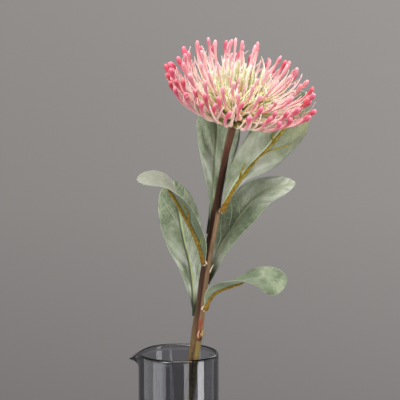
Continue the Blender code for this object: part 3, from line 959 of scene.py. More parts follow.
def half_width(leaf, t, share):
    """The widest half width times a power of the sine of a bent share of the length, so
    that the widest part lies past the middle. The last tenth is rounded off by a power of
    1 less a square. Never narrower than the stalk."""
    widest = np.where(share < 0, *leaf["half_widths"])
    belly = np.where(share < 0, *leaf["belly"])
    tip = np.where(share < 0, *leaf["tip"])
    blade = widest * np.sin(math.pi * (SINE_END * np.clip(t, 0, 1)) ** belly) ** tip
    into_end = np.clip(t - (1 - ROUNDED_PART), 0, 1) / ROUNDED_PART
    blade = blade * np.clip(1 - into_end**2, 0.00001, 1) ** ROUNDING_POWER
    return np.maximum(blade, PETIOLE_HALF * (1 - t**4))


def vein_wave(along, out):
    """From 0 on a side vein to 1 midway between two. Side veins leave the midrib every
    few millimetres, lean towards the tip, and alternate from side to side. Two sines of
    the way along crowd some of them and spread others."""
    reach = np.abs(out)
    place = (along - VEIN_LEAN * reach - VEIN_BEND * reach**2) / VEIN_STEP
    place = place + VEIN_SHIFT * (out > 0)
    for (size, speed), turn in zip(VEIN_SINES, (VEIN_TURN, 0.0)):
        place = place + size * np.sin(speed * along + turn * (out > 0))
    return 2.0 * np.abs(place - np.round(place))


print("half widths:", [float(half_width(leaf, 0.6, 1.0).round(1)) for leaf in LEAVES])


# %% [markdown]
# The surface starts flat and is raised by one small term after another. Each term is a
# product of steps that fade it out where the leaf stays flat: at the stalk, at the tip,
# on the midrib or at the margin.


# %% Leaf surface
WAVE_POWER = 2.5
WAVE_APART = 0.3  # of a turn, from the midrib to either margin
BUCKLE_ALONG = (2.7, 0.35)  # turns along the leaf, and their shift from side to side
BUCKLE_ACROSS = (1.6, 0.4)  # half turns across it, and where they start


def leaf_surface(leaf, t, share):
    """The blade's middle surface. A point lies across from the midrib by its share of the
    half width. It is raised by the fold, by an arch between midrib and margin, by a wave
    that grows towards the margin, by a low pillow between side veins, and by a buckle
    that is one sine along the leaf times one across it."""
    line, across, up = leaf_frame(leaf, t)
    off = np.abs(share)
    reach = share * half_width(leaf, t, share)
    fold = np.radians(np.interp(t, THREE_PLACES, leaf["fold"]))
    blade = ease(0.08, 0.35, t) * ease(1.0, 0.8, t)
    arch = np.where(share < 0, *leaf["cup"]) * (1 - (2 * off - 1) ** 2) * blade
    wave_minus, wave_plus, turns, phase = leaf["wave"]
    swing = np.where(share < 0, wave_minus, wave_plus)
    wave = swing * off**WAVE_POWER * blade * np.sin(
        2 * math.pi * (turns * t + phase + WAVE_APART * np.sign(share))
    )
    pillow = leaf["relief"] * vein_wave(t * leaf_length(leaf), reach) * blade
    pillow = pillow * ease(0, 0.25, off) * ease(1.0, 0.75, off)
    buckle = leaf["buckle"] * blade * ease(1.0, 0.6, off) * (
        np.sin(2 * math.pi * (BUCKLE_ALONG[0] * t + BUCKLE_ALONG[1] * share + phase))
        * np.sin(math.pi * (BUCKLE_ACROSS[0] * share + t + BUCKLE_ACROSS[1]))
    )
    rise = (np.hypot(reach, FOLD_ROUNDING) - FOLD_ROUNDING) * np.sin(fold)
    lift = rise + arch + wave + pillow + buckle
    return line + across * (reach * np.cos(fold))[..., None] + up * lift[..., None], up


middle, _ = leaf_surface(LEAVES[0], np.array([0.0, 1.0]), np.zeros(2))
print("first leaf from", middle[0].round(1), "to", middle[1].round(1))


# %% [markdown]
# A blade is a closed body, so its section goes across the upper face and back along the
# lower one. The fields carry what the finish needs: places along and across, which face
# it is, and how strong each kind of colour is there.


# %% Leaf grid
PATCH_LONG = 0.12
PATCH_WIDE = 0.3


def there_and_back(q):
    """For a thin closed section: the shares across and back, without the two ends twice,
    and the side, 1 on top, -1 underneath and 0 at the ends."""
    side = np.concatenate([np.ones(len(q)), -np.ones(len(q) - 2)])
    side[[0, len(q) - 1]] = 0.0
    return np.concatenate([q, q[-2:0:-1]]), side


def painted_leaf_light(leaf, t, share, side):
    """How light the leaf is painted, as painted light and shade: its own face's tone along it,
    plus each patch's bell of t times one of the share."""
    tone = np.where(
        side < 0, np.interp(t, FOUR_PLACES, leaf["back"]),
        np.interp(t, FOUR_PLACES, leaf["tone"]),
    )
    for patch_t, patch_share, lighter in leaf["painted_light_patches"]:
        tone = tone + lighter * np.exp(
            -(((t - patch_t) / PATCH_LONG) ** 2) - ((share - patch_share) / PATCH_WIDE) ** 2
        )
    return tone


def leaf_grid(leaf, rows=96, half_columns=32):
    """Closed sections along the midrib: across the upper face and back along the lower.
    The thickness is a round stalk's at the base and a thin blade's further on. Rows are
    closer together towards the tip, and columns towards the midrib."""
    t = 1 - (1 - np.linspace(0, 1, rows)) ** 1.5
    q = np.linspace(-1, 1, half_columns + 1)
    share, side = there_and_back(0.7 * q + 0.3 * q**3)
    t, share, side = np.broadcast_arrays(t[:, None], share[None, :], side[None, :])
    middle, up = leaf_surface(leaf, t, share)
    thick = BLADE_HALF * (1 - 0.6 * share**2) * ease(1.02, 0.9, t) + (
        ease(0.16, 0.02, t) * PETIOLE_HALF * np.sqrt(np.clip(1 - share**2, 0, 1))
    )
    fields = {
        "along": t * leaf_length(leaf) / 10, "out": share * half_width(leaf, t, share) / 10,
        "share": share, "under": side < 0, "tone": painted_leaf_light(leaf, t, share, side),
        "stalk": leaf["stalk"] * ease(0.22, 0.06, t),
        "fresh": leaf["fresh"] * ease(0.85, 0.3, t),
        "ripe": leaf["ripe"] * ease(0.45, 0.85, t) * ease(0.5, -0.4, share),
        "downy": leaf["downy"] * ease(0.55, 0.75, t) * (side >= 0),
        "rib": np.where(side < 0, leaf["rib"][1], leaf["rib"][0]),
        "lined": leaf["lined"] * ease(0.95, 0.7, t),
        "veined": leaf["veined"], "hem": leaf["hem"],
    }
    return middle + up * (side * thick)[..., None], fields


print("columns round a leaf:", len(there_and_back(np.linspace(-1, 1, 33))[0]))

# %% [markdown]
# A dusty green leaf like this is felted: hairs make it matt and pale where it turns
# edge-on, which is the shader's sheen. Side veins are worked out in the material from
# two fields, the way along and the way out from the midrib, so that they stay thin. The
# colour is built in layers: a clouded green lightened and darkened by painted light and
# shade, then an olive end that is painted shade, downy parts, painted shade in the furrows,
# the fine net, veins, the midrib and the line beside it, which is painted shade and painted
# highlight, the margin, and the foot, painted dark as shade.

# %% Vein lines
leaf_finish, tree, shader = new_finish(
    "leaf_green", Roughness=0.7, Sheen_Weight=0.22, Sheen_Roughness=0.45,
    Specular_IOR_Level=0.3,
)


def vein_lines(tree, noise_amount):
    """The same lines as vein_wave, in centimetres and worked out by nodes: 0 on a line
    and 0.5 midway. A little noise makes them uneven."""
    reach = sums(tree, "ABSOLUTE", field(tree, "out"))
    along = field(tree, "along")
    right = sums(tree, "GREATER_THAN", field(tree, "out"))
    bend = times(tree, reach, plus_part(tree, reach, 10 * VEIN_BEND, VEIN_LEAN))
    place = sums(tree, "DIVIDE", sums(tree, "SUBTRACT", along, bend), VEIN_STEP / 10)
    place = plus_part(tree, right, VEIN_SHIFT, place)
    for (size, speed), turn in zip(VEIN_SINES, (VEIN_TURN, 0.0)):
        angle = plus_part(tree, right, turn, times(tree, along, 10 * speed))
        place = plus_part(tree, sums(tree, "SINE", angle), size, place)
    place = plus_part(tree, noise(tree, 55.0, 2.0), noise_amount, place)
    return sums(tree, "PINGPONG", place, 0.5), reach


lines, reach = vein_lines(tree, 0.3)
drawn = times(
    tree, field(tree, "veined"), band(tree, noise(tree, 60.0, 2.0), 0.35, 0.62, 0.15, 1.0)
)
vein = times(
    tree, band(tree, lines, 0.015, 0.06), band(tree, reach, 0.25, 1.6, 0.9, 0.1), drawn
)
# The furrows beside the side veins: a dip in the bump, and painted shade in the colour.
furrow_and_painted_shade = times(tree, band(tree, lines, 0.03, 0.26), drawn)
cell_edge = add(
    tree, "ShaderNodeTexVoronoi", out="Distance", settings={"feature": "DISTANCE_TO_EDGE"},
    Vector=add(tree, "ShaderNodeTexCoord", out="Object"), Scale=230.0,
)
net = times(tree, band(tree, cell_edge, 0.02, 0.09), drawn)
rib = times(tree, band(tree, reach, 0.04, 0.10), field(tree, "rib"))
margin = band(tree, sums(tree, "ABSOLUTE", field(tree, "share")), 0.94, 0.98, 0.0, 1.0)
print("nodes for the leaf's lines:", len(tree.nodes))

# %% [markdown]
# A narrow line runs along one side of the midrib: painted shade for the shadow in its groove
# on the upper face, and a painted highlight on the edge of the raised rib on the underside.

# %% Leaf colours
GROOVE_OUT = 0.13  # centimetres from the midrib, on the minus side of the upper face
EDGE_OUT = 0.15  # and on the plus side of the underside
beside = plus_part(
    tree, field(tree, "under"), -GROOVE_OUT - EDGE_OUT,
    sums(tree, "ADD", field(tree, "out"), GROOVE_OUT),
)
beside = band(tree, sums(tree, "ABSOLUTE", beside), 0.04, 0.08)
beside = times(tree, beside, field(tree, "lined"))
felt = noise(tree, 1500.0, 4.0)
mottle = noise(tree, 70.0, 4.0)
cloud = band(tree, noise(tree, 32.0, 2.0), 0.35, 0.68, -0.16, 0.26)
crinkle = noise(tree, 300.0, 3.0)
shade = stirred(tree, 0.5, mottle, 0.9)
shade = stirred(tree, shade, felt, 0.5)
shade = stirred(tree, shade, crinkle, 0.5)
# Painted light and shade: the tone field lightens and darkens the mottled green.
shade = plus_part(tree, field(tree, "tone"), 0.5, sums(tree, "ADD", shade, cloud))
colour = ramp(tree, shade, (
    (0.0, tint(70, 83, 59)), (0.35, tint(107, 119, 93)), (0.6, tint(138, 147, 124)),
    (1.0, tint(178, 182, 169)),
))
pale_rib = layer(tree, field(tree, "fresh"), tint(158, 170, 136), tint(186, 198, 128))
painted_groove_shade_and_rib_glint = layer(tree, field(tree, "under"), tint(76, 88, 62), tint(196, 204, 168))
LEAF_LAYERS = (
    # Painted shade: the olive end of the upper right leaf, which lies behind the head.
    (field(tree, "ripe"), tint(112, 110, 68)),
    (field(tree, "downy"), tint(129, 127, 118)),
    # Painted shade in the furrows beside the side veins.
    (times(tree, furrow_and_painted_shade, 0.5), tint(84, 98, 72)),
    (times(tree, field(tree, "under"), 0.15), tint(146, 156, 132)),
    (times(tree, net, 0.28), tint(160, 170, 140)),
    (times(tree, vein, 0.85), tint(182, 192, 164)),
    (rib, pale_rib),
    (times(tree, margin, times(tree, mottle, 1.1, field(tree, "hem"))), tint(190, 200, 166)),
    # Painted shade in the groove beside the midrib on top, a painted highlight underneath.
    (beside, painted_groove_shade_and_rib_glint),
    # Painted shade: the foot of a stalk that joins the stem at its back is painted dark.
    (field(tree, "stalk"), tint(40, 48, 30)),
)
for amount, over in LEAF_LAYERS:
    colour = layer(tree, amount, colour, over)
height = plus_part(tree, furrow_and_painted_shade, -0.6, times(tree, felt, 0.35))
height = plus_part(tree, crinkle, 1.4, height)
height = plus_part(tree, rib, -0.8, height)
set_surface(tree, shader, colour, height, 0.0005)
print("layers of leaf colour:", len(LEAF_LAYERS))

# %% [markdown]
# Each leaf is one piece of its own, and stands for one solid.

# %% Leaf pieces
for leaf in LEAVES:
    points, fields = leaf_grid(leaf)
    blade = skin(leaf["name"].replace("leaf", "blade"), points, leaf_finish, **fields)
    belongs(blade, "leaf_green", leaf["name"])

# %% [markdown]
# ## Brown ribs
#
# Three leaves show their backs, where the midrib stands out as a brown stalk that forks.
# A rib is a tapering tube laid on the underside along a path of shares: how far along
# the leaf and how far across it. It follows every bend of the blade by itself.

# %% Rib paths
# Leaf, path, radius at the start and further on, and how dark it is.
RIBS = (
    ("leaf_upper_right", ((0.0, 0.0), (0.3, 0.0), (0.6, 0.0), (0.92, 0.0)), 2.1, 0.95, 0.25),
    ("leaf_upper_right", ((0.43, 0.0), (0.52, -0.18), (0.66, -0.55)), 0.9, 0.5, 0.2),
    ("leaf_upper_right", ((0.22, 0.0), (0.29, 0.28), (0.33, 0.46)), 0.9, 0.5, 0.05),
    ("leaf_upper_right", ((0.56, 0.0), (0.62, 0.20), (0.68, 0.26)), 0.9, 0.45, 0.05),
    ("leaf_middle_left", ((0.0, 0.0), (0.25, 0.0), (0.5, 0.0), (0.74, 0.0)), 1.8, 1.2, 0.55),
    ("leaf_middle_left", ((0.38, 0.0), (0.47, -0.4), (0.58, -0.38)), 0.75, 0.5, 0.45),
    ("leaf_middle_left", ((0.16, 0.0), (0.20, -0.4), (0.23, -0.6)), 0.5, 0.3, 0.0),
    # This rib is darker partly as painted shade, where it lies in shadow.
    ("leaf_lower_right", ((0.0, 0.0), (0.2, 0.02), (0.4, 0.04), (0.56, 0.05)), 2.1, 1.0, 0.5),
)
RIB_ROWS = 40
MAIN_RIB = 1.5  # a rib that starts thicker than this runs from the stem


def rib_grid(leaf, path, thick, thin, sides=10):
    """A tube whose middle lies half sunk in the leaf's underside. Its radius falls fast
    at first and then slowly, with the fifth power of what is left. The last tenth
    closes."""
    corners = np.array([(t, share, 0.0) for t, share in path])
    t, share, _ = smooth_curve(corners, RIB_ROWS).T
    middle, up = leaf_surface(leaf, t, share)
    place = np.linspace(0, 1, RIB_ROWS)
    radius = (thin + (thick - thin) * (1 - place) ** 5) * np.sqrt(
        np.clip((1.0 - place) / 0.1, 0.01, 1)
    )
    middle = middle - up * (BLADE_HALF + 0.55 * radius)[:, None]
    tangent = unit(np.gradient(middle, axis=0))
    side = unit(np.cross(tangent, up))
    lumps = 1 + 0.08 * np.sin(9.0 * place * RIB_ROWS / 12) * (place < 0.9)
    return rings(middle, side, np.cross(side, tangent), radius * lumps, sides)


by_name = {leaf["name"]: leaf for leaf in LEAVES}
rib_points = np.stack([rib_grid(by_name[name], *rest) for name, *rest, _ in RIBS])
print("ribs:", rib_points.shape)

# %% [markdown]
# A rib is olive. Where it leaves the stem it is a warmer, golden brown, and each one is
# darker or paler as a whole. The lower right leaf's rib is darker partly as painted shade,
# where it lies in shadow.

# %% Rib finish
rib_finish, tree, shader = new_finish("brown_rib", Roughness=0.6, Specular_IOR_Level=0.15)
grain = noise(tree, 500.0, 4.0)
colour = ramp(tree, grain, (
    (0.3, tint(116, 102, 10)), (0.5, tint(152, 140, 40)), (0.7, tint(186, 176, 90)),
))
golden = ramp(tree, grain, ((0.35, tint(128, 84, 8)), (0.65, tint(190, 140, 62))))
colour = layer(tree, field(tree, "warm"), colour, golden)
colour = layer(tree, field(tree, "dark"), colour, tint(66, 44, 0))
set_surface(tree, shader, colour, grain, 0.0003)
rib_place = np.linspace(0, 1, RIB_ROWS)[:, None]
rib_dark = np.array([rib[-1] for rib in RIBS])[:, None, None] + 0.08 - 0.18 * rib_place
rib_warm = np.interp(rib_place, (0, 0.1, 0.3), (0.9, 0.7, 0.0))
rib_warm = np.array([rib[2] > MAIN_RIB for rib in RIBS])[:, None, None] * rib_warm
rib_warm = np.maximum(rib_warm, rib_dark)
belongs(skin("brown_ribs", rib_points, rib_finish, dark=rib_dark, warm=rib_warm), "bark")

# %% [markdown]
# ## Flower head
#
# The head of a pincushion is a woolly knob packed with florets. Each floret has one
# stiff style, the pin, with a swollen end, and the petals round it split into ribbons
# that curl away. The styles stand in rings. Each one sets out square to the knob and
# turns up towards the light, so its lean is a smooth function of the way along it.

# %% Style measurements
DOME_HEIGHT = 7.0
SEAT_RADIUS = 11.0
BEND_POWER = 1.4
FRONT_SETS_OUT_LESS = 6.0
FRONT_TURNS_UP_MORE = (14.0, 8.0, -10.0, -22.0, -22.0, 0.0)  # for each ring
TIP_SWINGS = 7.0
LOW_BEARING = -26.0
LOW_SETS_OUT_MORE = 6.0
LOW_TURNS_UP_LESS = 9.0
PARTING = -91.0
PARTED_BY = 3.5
UNEVEN_STEPS = 0.12
UNEVEN_LENGTHS = 0.06
SHORT_BEARING = 60.0
SHORTER_BY = 0.11
LONG_BEARING = 105.0
LONGER_BY = 0.07
# Name, how many, angle of the seat from the axis, lean on the way out and at the tip,
# and length. Angles are in degrees.
WHORLS = (
    ("florets_whorl_1", 26, 92.0, 88.0, 24.0, 52.0),
    ("florets_whorl_2", 26, 76.0, 82.0, 18.0, 52.0),
    ("florets_whorl_3", 20, 60.0, 69.0, 11.0, 49.0),
    ("florets_whorl_4", 12, 44.0, 53.0, 7.0, 42.0),
    ("florets_whorl_5", 6, 27.0, 38.0, 4.0, 32.0),
    ("florets_centre", 5, 12.0, 16.0, 8.0, 15.0),
)
print("styles:", sum(whorl[1] for whorl in WHORLS))


# %% [markdown]
# A line grows in small steps, each with its own lean from the head's axis, and keeps
# close to an upright plane through that axis. So one table of leans gives all the lines
# of a ring at once. Two directions go along with every point, for the tube round it.


# %% Bent lines
def from_head(points):
    """Points of the head's own frame, whose Z is its axis, taken to the scene's."""
    return points @ HEAD_TURN.T + HEAD_BASE


def bent_lines(seat, lean, length, bearing):
    """Lines that leave the knob. Each step goes out from the axis by the sine of the lean
    and up by its cosine, at its bearing. All angles are in degrees, one row per line."""
    lean, bearing = np.radians(lean), np.radians(bearing + 0 * lean)
    step = (length / (lean.shape[1] - 1))[:, None]
    middle = (lean[:, 1:] + lean[:, :-1]) / 2
    start = np.zeros((len(lean), 1))
    out = SEAT_RADIUS * np.sin(np.radians(seat)) + np.hstack(
        [start, np.cumsum(np.sin(middle) * step, axis=1)]
    )
    up = DOME_HEIGHT + SEAT_RADIUS * np.cos(np.radians(seat)) + np.hstack(
        [start, np.cumsum(np.cos(middle) * step, axis=1)]
    )
    flat = 0 * lean
    outward = np.stack([np.cos(bearing), np.sin(bearing), flat], axis=-1)
    across = np.stack([-np.sin(bearing), np.cos(bearing), flat], axis=-1)
    axis = np.array([0.0, 0.0, 1.0])
    points = outward * out[..., None] + axis * up[..., None]
    inward = axis * np.sin(lean)[..., None] - outward * np.cos(lean)[..., None]
    return points, across, inward


print("the head's foot is at", HEAD_BASE)


# %% [markdown]
# No two styles lean or reach alike, and the head isn't even all round. These rules give
# each style of a ring its bearing, lean and length: a value for the ring, a wobble, and
# a smooth change round the head.


# %% Ring rules
def whorl_numbers(order):
    """The seeds of a ring's florets and their bearings: even steps, less even by an
    eighth of a step, and half a step on in every second ring. At the front the two outer
    rings part a little to either side, where the bracts show."""
    count = WHORLS[order][1]
    index = np.arange(count)
    seed = 100 * order + index
    bearing = 360.0 / count * (index + 0.5 * (order % 2) + UNEVEN_STEPS * wobble(seed, 3))
    off = (bearing - PARTING + 180.0) % 360.0 - 180.0
    if order < 2:
        bearing = bearing + PARTED_BY * np.tanh(off / 3.0) * np.exp(-((off / 22.0) ** 2))
    return seed, bearing


def style_lean(order, seed, bearing, s):
    """The lean at a share s of the length: from the way out to the way at the tip, with
    the 1.4th power of s, so that most of the bend comes late. At the front of the head
    the outer rings turn up more and the inner ones less, and the front right hangs low."""
    _, _, seat, lean_out, lean_tip, _ = WHORLS[order]
    reach = math.sin(math.radians(seat))
    front = np.clip(-np.sin(np.radians(bearing)), 0, None) * reach
    low = (np.clip(np.cos(np.radians(bearing - LOW_BEARING)), 0, None) * reach) ** 2
    set_out = lean_out - FRONT_SETS_OUT_LESS * front + LOW_SETS_OUT_MORE * low
    tip = lean_tip + TIP_SWINGS * wobble(seed, 4)
    tip = tip + LOW_TURNS_UP_LESS * low - FRONT_TURNS_UP_MORE[order] * front
    return set_out[:, None] + (tip - set_out)[:, None] * s**BEND_POWER


def style_length(order, seed, bearing):
    """A ring's length, uneven by up to 6%, shorter at the back right by the square of a
    cosine, and longer at the back by the fourth power of another."""
    short = np.clip(np.cos(np.radians(bearing - SHORT_BEARING)), 0, None) ** 2
    tall = np.clip(np.cos(np.radians(bearing - LONG_BEARING)), 0, None) ** 4
    uneven = 1 + UNEVEN_LENGTHS * wobble(seed, 5)
    return WHORLS[order][5] * (uneven - SHORTER_BY * short + LONGER_BY * tall)


print("lengths in the outer ring:", style_length(0, *whorl_numbers(0)).round(1)[:5], "...")


# %% [markdown]
# The swollen end is a profile: a radius for each distance from the tip. Rows are close
# together there and further apart down the shaft.

# %% Tip profile
PROFILE_LONG = 52.0
TIP_PROFILE = (
    (0.0, 0.3), (0.25, 0.75), (0.7, 1.1), (1.4, 1.35), (2.4, 1.54), (3.6, 1.58),
    (4.8, 1.5), (6.2, 1.3), (8.0, 1.12), (11.0, 0.98), (14.0, 0.94), (PROFILE_LONG, 0.9),
)
ROW_PLACES = np.array(
    [0, 0.25, 0.7, 1.4, 2.4, 3.6, 4.8, 6.2, 8.0, 11, 14, 17, 20, 24, 28, 32, 37, 42, 47, 52]
) / PROFILE_LONG
SHORT_STYLE = 40.0  # below this length a style has fewer rows


def style_rows(length):
    """The shares of a style's length that get a row, from its foot to its tip."""
    if length > SHORT_STYLE:
        s = 1 - ROW_PLACES[::-1] * min(1.0, PROFILE_LONG / length)
    else:
        club = ROW_PLACES[:9] * PROFILE_LONG / length
        s = 1 - np.concatenate([club, np.linspace(9.5 / length, 1, 6)])[::-1]
    return np.clip(s, 0, 1)


print("rows of a long style:", len(style_rows(52.0)), "and of a short one:", len(style_rows(32.0)))

# %% [markdown]
# A tube along each line gives the style. Young florets in the middle are thinner. Every
# style sways a little and nods at its end, because a bunch that is all alike looks made
# by a machine.

# %% Style tubes
STYLE_THICKNESS = (1.04, 1.06, 0.98, 0.84, 0.74, 0.6)
UNEVEN_THICKNESS = 0.15
FOOT_THICKER = 0.7
FOOT_ENDS = (16.0, 6.0)
SWAY = (3.5, 2.5)  # degrees sideways, over the whole length and at the kink
NOD = 10.0  # degrees, at the kink
KINK_FROM = 0.8
FINE_STEPS = 120


def at_sides(bearing):
    """From -0.15 at the front and back of the head to 0.1 at its left and 0.5 at its
    right."""
    side = np.cos(np.radians(bearing - 5.0))
    return np.where(side > 0, 0.65, 0.25) * side**4 - 0.15


def style_grids(order, sides=8):
    """Tubes along a ring's lines, whose radius is the tip profile's, and a little more at
    the foot. The last fifth of each nods a little further one way or the other. Lines are
    worked out in fine steps, and rows lie between two of them."""
    seat, length = WHORLS[order][2], WHORLS[order][5]
    seed, bearing = whorl_numbers(order)
    s = style_rows(length)
    fine = np.linspace(0, 1, FINE_STEPS + 1)
    lengths = style_length(order, seed, bearing)
    kink = ease(KINK_FROM, 1.0, fine)
    sway = SWAY[0] * wobble(seed, 6)[:, None] * fine**2 + SWAY[1] * wobble(seed, 7)[:, None] * kink
    nod = NOD * wobble(seed, 10)[:, None] * kink
    points, across, inward = bent_lines(
        seat, style_lean(order, seed, bearing, fine) + nod, lengths, bearing[:, None] + sway
    )
    low = np.clip(np.floor(s * FINE_STEPS).astype(int), 0, FINE_STEPS - 1)
    mix = (s * FINE_STEPS - low)[None, :, None]
    points = points[:, low] * (1 - mix) + points[:, low + 1] * mix
    nearest = np.rint(s * FINE_STEPS).astype(int)
    distance = (1 - s) * lengths[:, None]
    uneven = 1 + UNEVEN_THICKNESS * wobble(seed, 8)
    radius = np.interp(distance, *zip(*TIP_PROFILE)) * uneven[:, None]
    radius = STYLE_THICKNESS[order] * radius
    radius = radius + FOOT_THICKER * ease(*FOOT_ENDS, s * lengths[:, None])
    grids = rings(points, across[:, nearest], inward[:, nearest], radius, sides)
    fields = {
        "along": s[None, :, None], "tip": distance[..., None] / 10, "ring": order / 5.0,
        "ripe": (wobble(seed, 9) + at_sides(bearing))[:, None, None],
        "inner": np.sin(full_turn(sides)),
    }
    return from_head(grids), fields


print("grid of the outer ring:", style_grids(0)[0].shape)

# %% [markdown]
# The shaft runs from yellow-green in the wool through cream to pink, paler on the side
# that faces the axis. The swollen end is a deeper pink with a paler crown, which is a painted
# highlight. It is redder at the sides of the head and fainter on the young inner rings. No two
# are quite alike.

# %% Style finish
petal, tree, shader = new_finish(
    "petal_pink", Roughness=0.75, Specular_IOR_Level=0.12,
    Subsurface_Weight=0.3, Subsurface_Scale=0.003,
)
shader.inputs["Subsurface Radius"].default_value = (1.0, 0.55, 0.5)
grain = noise(tree, 900.0, 3.0)
ripe = field(tree, "ripe")
along = stirred(tree, field(tree, "along"), grain, 0.18)
along = plus_part(tree, ripe, 0.07, along)
shaft = ramp(tree, along, (
    (0.0, tint(190, 200, 88)), (0.14, tint(226, 226, 150)), (0.32, tint(238, 226, 204)),
    (0.48, tint(228, 188, 185)), (0.66, tint(216, 147, 156)), (0.86, tint(209, 118, 135)),
))
inner = band(tree, field(tree, "inner"), -0.9, 0.9, 0.0, 0.35)
shaft = layer(tree, inner, shaft, tint(238, 218, 210))
place = stirred(tree, field(tree, "tip"), grain, 0.25)
# The palest stop, at the very end, is a painted highlight on the crown.
club = ramp(tree, place, (
    (0.0, tint(215, 137, 153)), (0.12, tint(210, 114, 133)), (0.28, tint(202, 90, 112)),
    (0.55, tint(200, 89, 112)), (0.85, tint(208, 121, 138)),
))
red_club = ramp(tree, place, (
    (0.0, tint(214, 116, 126)), (0.3, tint(190, 64, 80)), (0.85, tint(202, 100, 114)),
))
club = layer(tree, band(tree, ripe, 0.2, 0.9, 0.0, 1.0), club, red_club)
young = band(tree, field(tree, "ring"), 0.15, 0.65, 0.0, 0.85)
club = layer(tree, young, club, tint(224, 180, 184))
colour = layer(tree, band(tree, place, 0.6, 1.6), shaft, club)
set_surface(tree, shader, colour, grain, 0.0002)
print("nodes of the petal finish:", len(tree.nodes))

# %% [markdown]
# A ring of styles is one piece, as it is one solid.

# %% Style pieces
for order, whorl in enumerate(WHORLS):
    points, fields = style_grids(order)
    styles = skin(whorl[0].replace("florets", "styles"), points, petal, **fields)
    belongs(styles, "petal_pink", whorl[0])

# %% [markdown]
# ## Ribbons
#
# Two ribbons go with each style, except in the very middle. A ribbon hugs the style for
# part of its length and then rolls away, tighter and tighter. That is the style's own
# lean less a curl that grows with a power of the way along. Wider ones stand round the
# middle like a basket.

# %% Ribbon measurements
# For each ring: the share of the style that a ribbon hugs, how much of the full curl it
# takes, how far it closes in on the style, its half width, and how pink it is.
RIBBON_HUGS = (0.74, 0.72, 0.6, 0.42, 0.42)
RIBBON_CURLS = (0.15, 0.15, 0.3, 1.0, 1.0)
RIBBON_CLOSES = (0.55, 0.55, 0.45, 0.3, 0.3)
RIBBON_WIDE = (1.4, 1.35, 1.15, 1.0, 1.0)
RIBBON_BLUSH = (0.95, 0.9, 0.6, 0.2, 0.05)
EDGES_TURN_IN = 0.35
# The next ones are a middle value and how far a wobble takes it either way.
LEAVES_AT = (0.62, 0.1)  # share of the ribbon's length at which it leaves the style
CURL = (85, 55)  # degrees
BESIDE = (1.6, 0.5)
CURL_POWER = 1.6
DRIFT = 14  # degrees round the head, by the end
LONGER = 8.0
UNEVEN_HUG = 0.14
UNEVEN_WIDTH = 0.2
print("ribbons: two for each style of", len(RIBBON_HUGS), "rings")

# %% [markdown]
# A ribbon's section has only four corners, a flattened diamond, because there are nearly
# three hundred ribbons and each is thin. Its two edges come out pale in the finish, so
# that the ribbons stand apart from one another.

# %% Ribbon shape
RIBBON_CORNERS = np.array([[-1.0, 0.25], [0.0, -1.0], [1.0, 0.25], [0.0, 1.0]])
RIBBON_EDGE = np.abs(RIBBON_CORNERS[:, 0])


def ribbon_grids(seat, lean, length, bearing, wide, thin=0.16):
    """Flat bands of four corners along bent lines. They narrow to a blunt end, and their
    edges turn in a little, with the square of the way out."""
    points, across, inward = bent_lines(seat, lean, length, bearing)
    share = np.linspace(0, 1, lean.shape[1])
    half = wide[:, None] * (0.7 + 0.3 * np.sin(math.pi * share)) * np.sqrt(1.02 - share**5)
    reach = RIBBON_CORNERS[:, 0] * half[..., None]
    depth = RIBBON_CORNERS[:, 1] * thin + EDGES_TURN_IN * reach**2 / wide[:, None, None]
    grids = points[..., None, :] + (
        across[..., None, :] * reach[..., None] + inward[..., None, :] * depth[..., None]
    )
    return from_head(grids), share


def whorl_ribbons(order, which, rows=16):
    """A ribbon beside each style of a ring, on one side or the other of it. Past the
    place where it leaves the style, its lean falls by the curl times the 1.6th power of
    the way from there to its end."""
    seat = WHORLS[order][2]
    seed, bearing = whorl_numbers(order)
    length = style_length(order, seed, bearing)
    reach = length * (RIBBON_HUGS[order] + UNEVEN_HUG * wobble(seed, 11 + which)) + LONGER
    r = np.linspace(0, 1, rows)
    s = np.clip(r * (reach / length)[:, None], 0, 1)
    leave = LEAVES_AT[0] + LEAVES_AT[1] * wobble(seed, 13 + which)
    roll = np.clip((r - leave[:, None]) / (1 - leave[:, None]), 0, None)
    curl = -(CURL[0] + CURL[1] * wobble(seed, 15 + which)) * RIBBON_CURLS[order]
    lean = style_lean(order, seed, bearing, s) + curl[:, None] * roll**CURL_POWER
    side = (BESIDE[0] + BESIDE[1] * wobble(seed, 17 + which)) * (1 - 2 * which)
    beside = np.degrees(side / (SEAT_RADIUS * max(0.3, math.sin(math.radians(seat)))))
    drift = (DRIFT * wobble(seed, 19 + which))[:, None] * roll
    bearing = bearing[:, None] + beside[:, None] * (1 - RIBBON_CLOSES[order] * np.sqrt(r)) + drift
    wide = RIBBON_WIDE[order] + UNEVEN_WIDTH * wobble(seed, 21 + which)
    return ribbon_grids(seat, lean, reach, bearing, wide), seed


(points, share), seed = whorl_ribbons(0, 0)
print("ribbons on one side of the outer ring:", points.shape)

# %% [markdown]
# A ribbon is yellow-green at its foot and cream further on, with a paler hem. Those of
# the outer rings blush like their styles, a little less at the front.

# %% Ribbon finish
ribbon_finish, tree, shader = new_finish(
    "ribbon_cream", Roughness=0.5, Specular_IOR_Level=0.35, Subsurface_Weight=0.2,
    Subsurface_Scale=0.003,
)
grain = noise(tree, 700.0, 3.0)
along = stirred(tree, field(tree, "along"), grain, 0.2)
colour = ramp(tree, along, (
    (0.0, tint(190, 204, 74)), (0.2, tint(218, 226, 120)), (0.5, tint(242, 240, 188)),
    (0.85, tint(250, 244, 222)), (1.0, tint(250, 230, 222)),
))
green = band(tree, field(tree, "ripe"), 0.1, 0.9, 0.0, 0.45)
colour = layer(tree, green, colour, tint(206, 216, 96))
blush = times(tree, field(tree, "blush"), band(tree, along, 0.2, 0.65, 0.0, 1.0))
colour = layer(tree, blush, colour, tint(230, 174, 176))
hem = band(tree, field(tree, "edge"), 0.45, 0.95, 0.0, 0.75)
colour = layer(tree, hem, colour, tint(248, 238, 226))
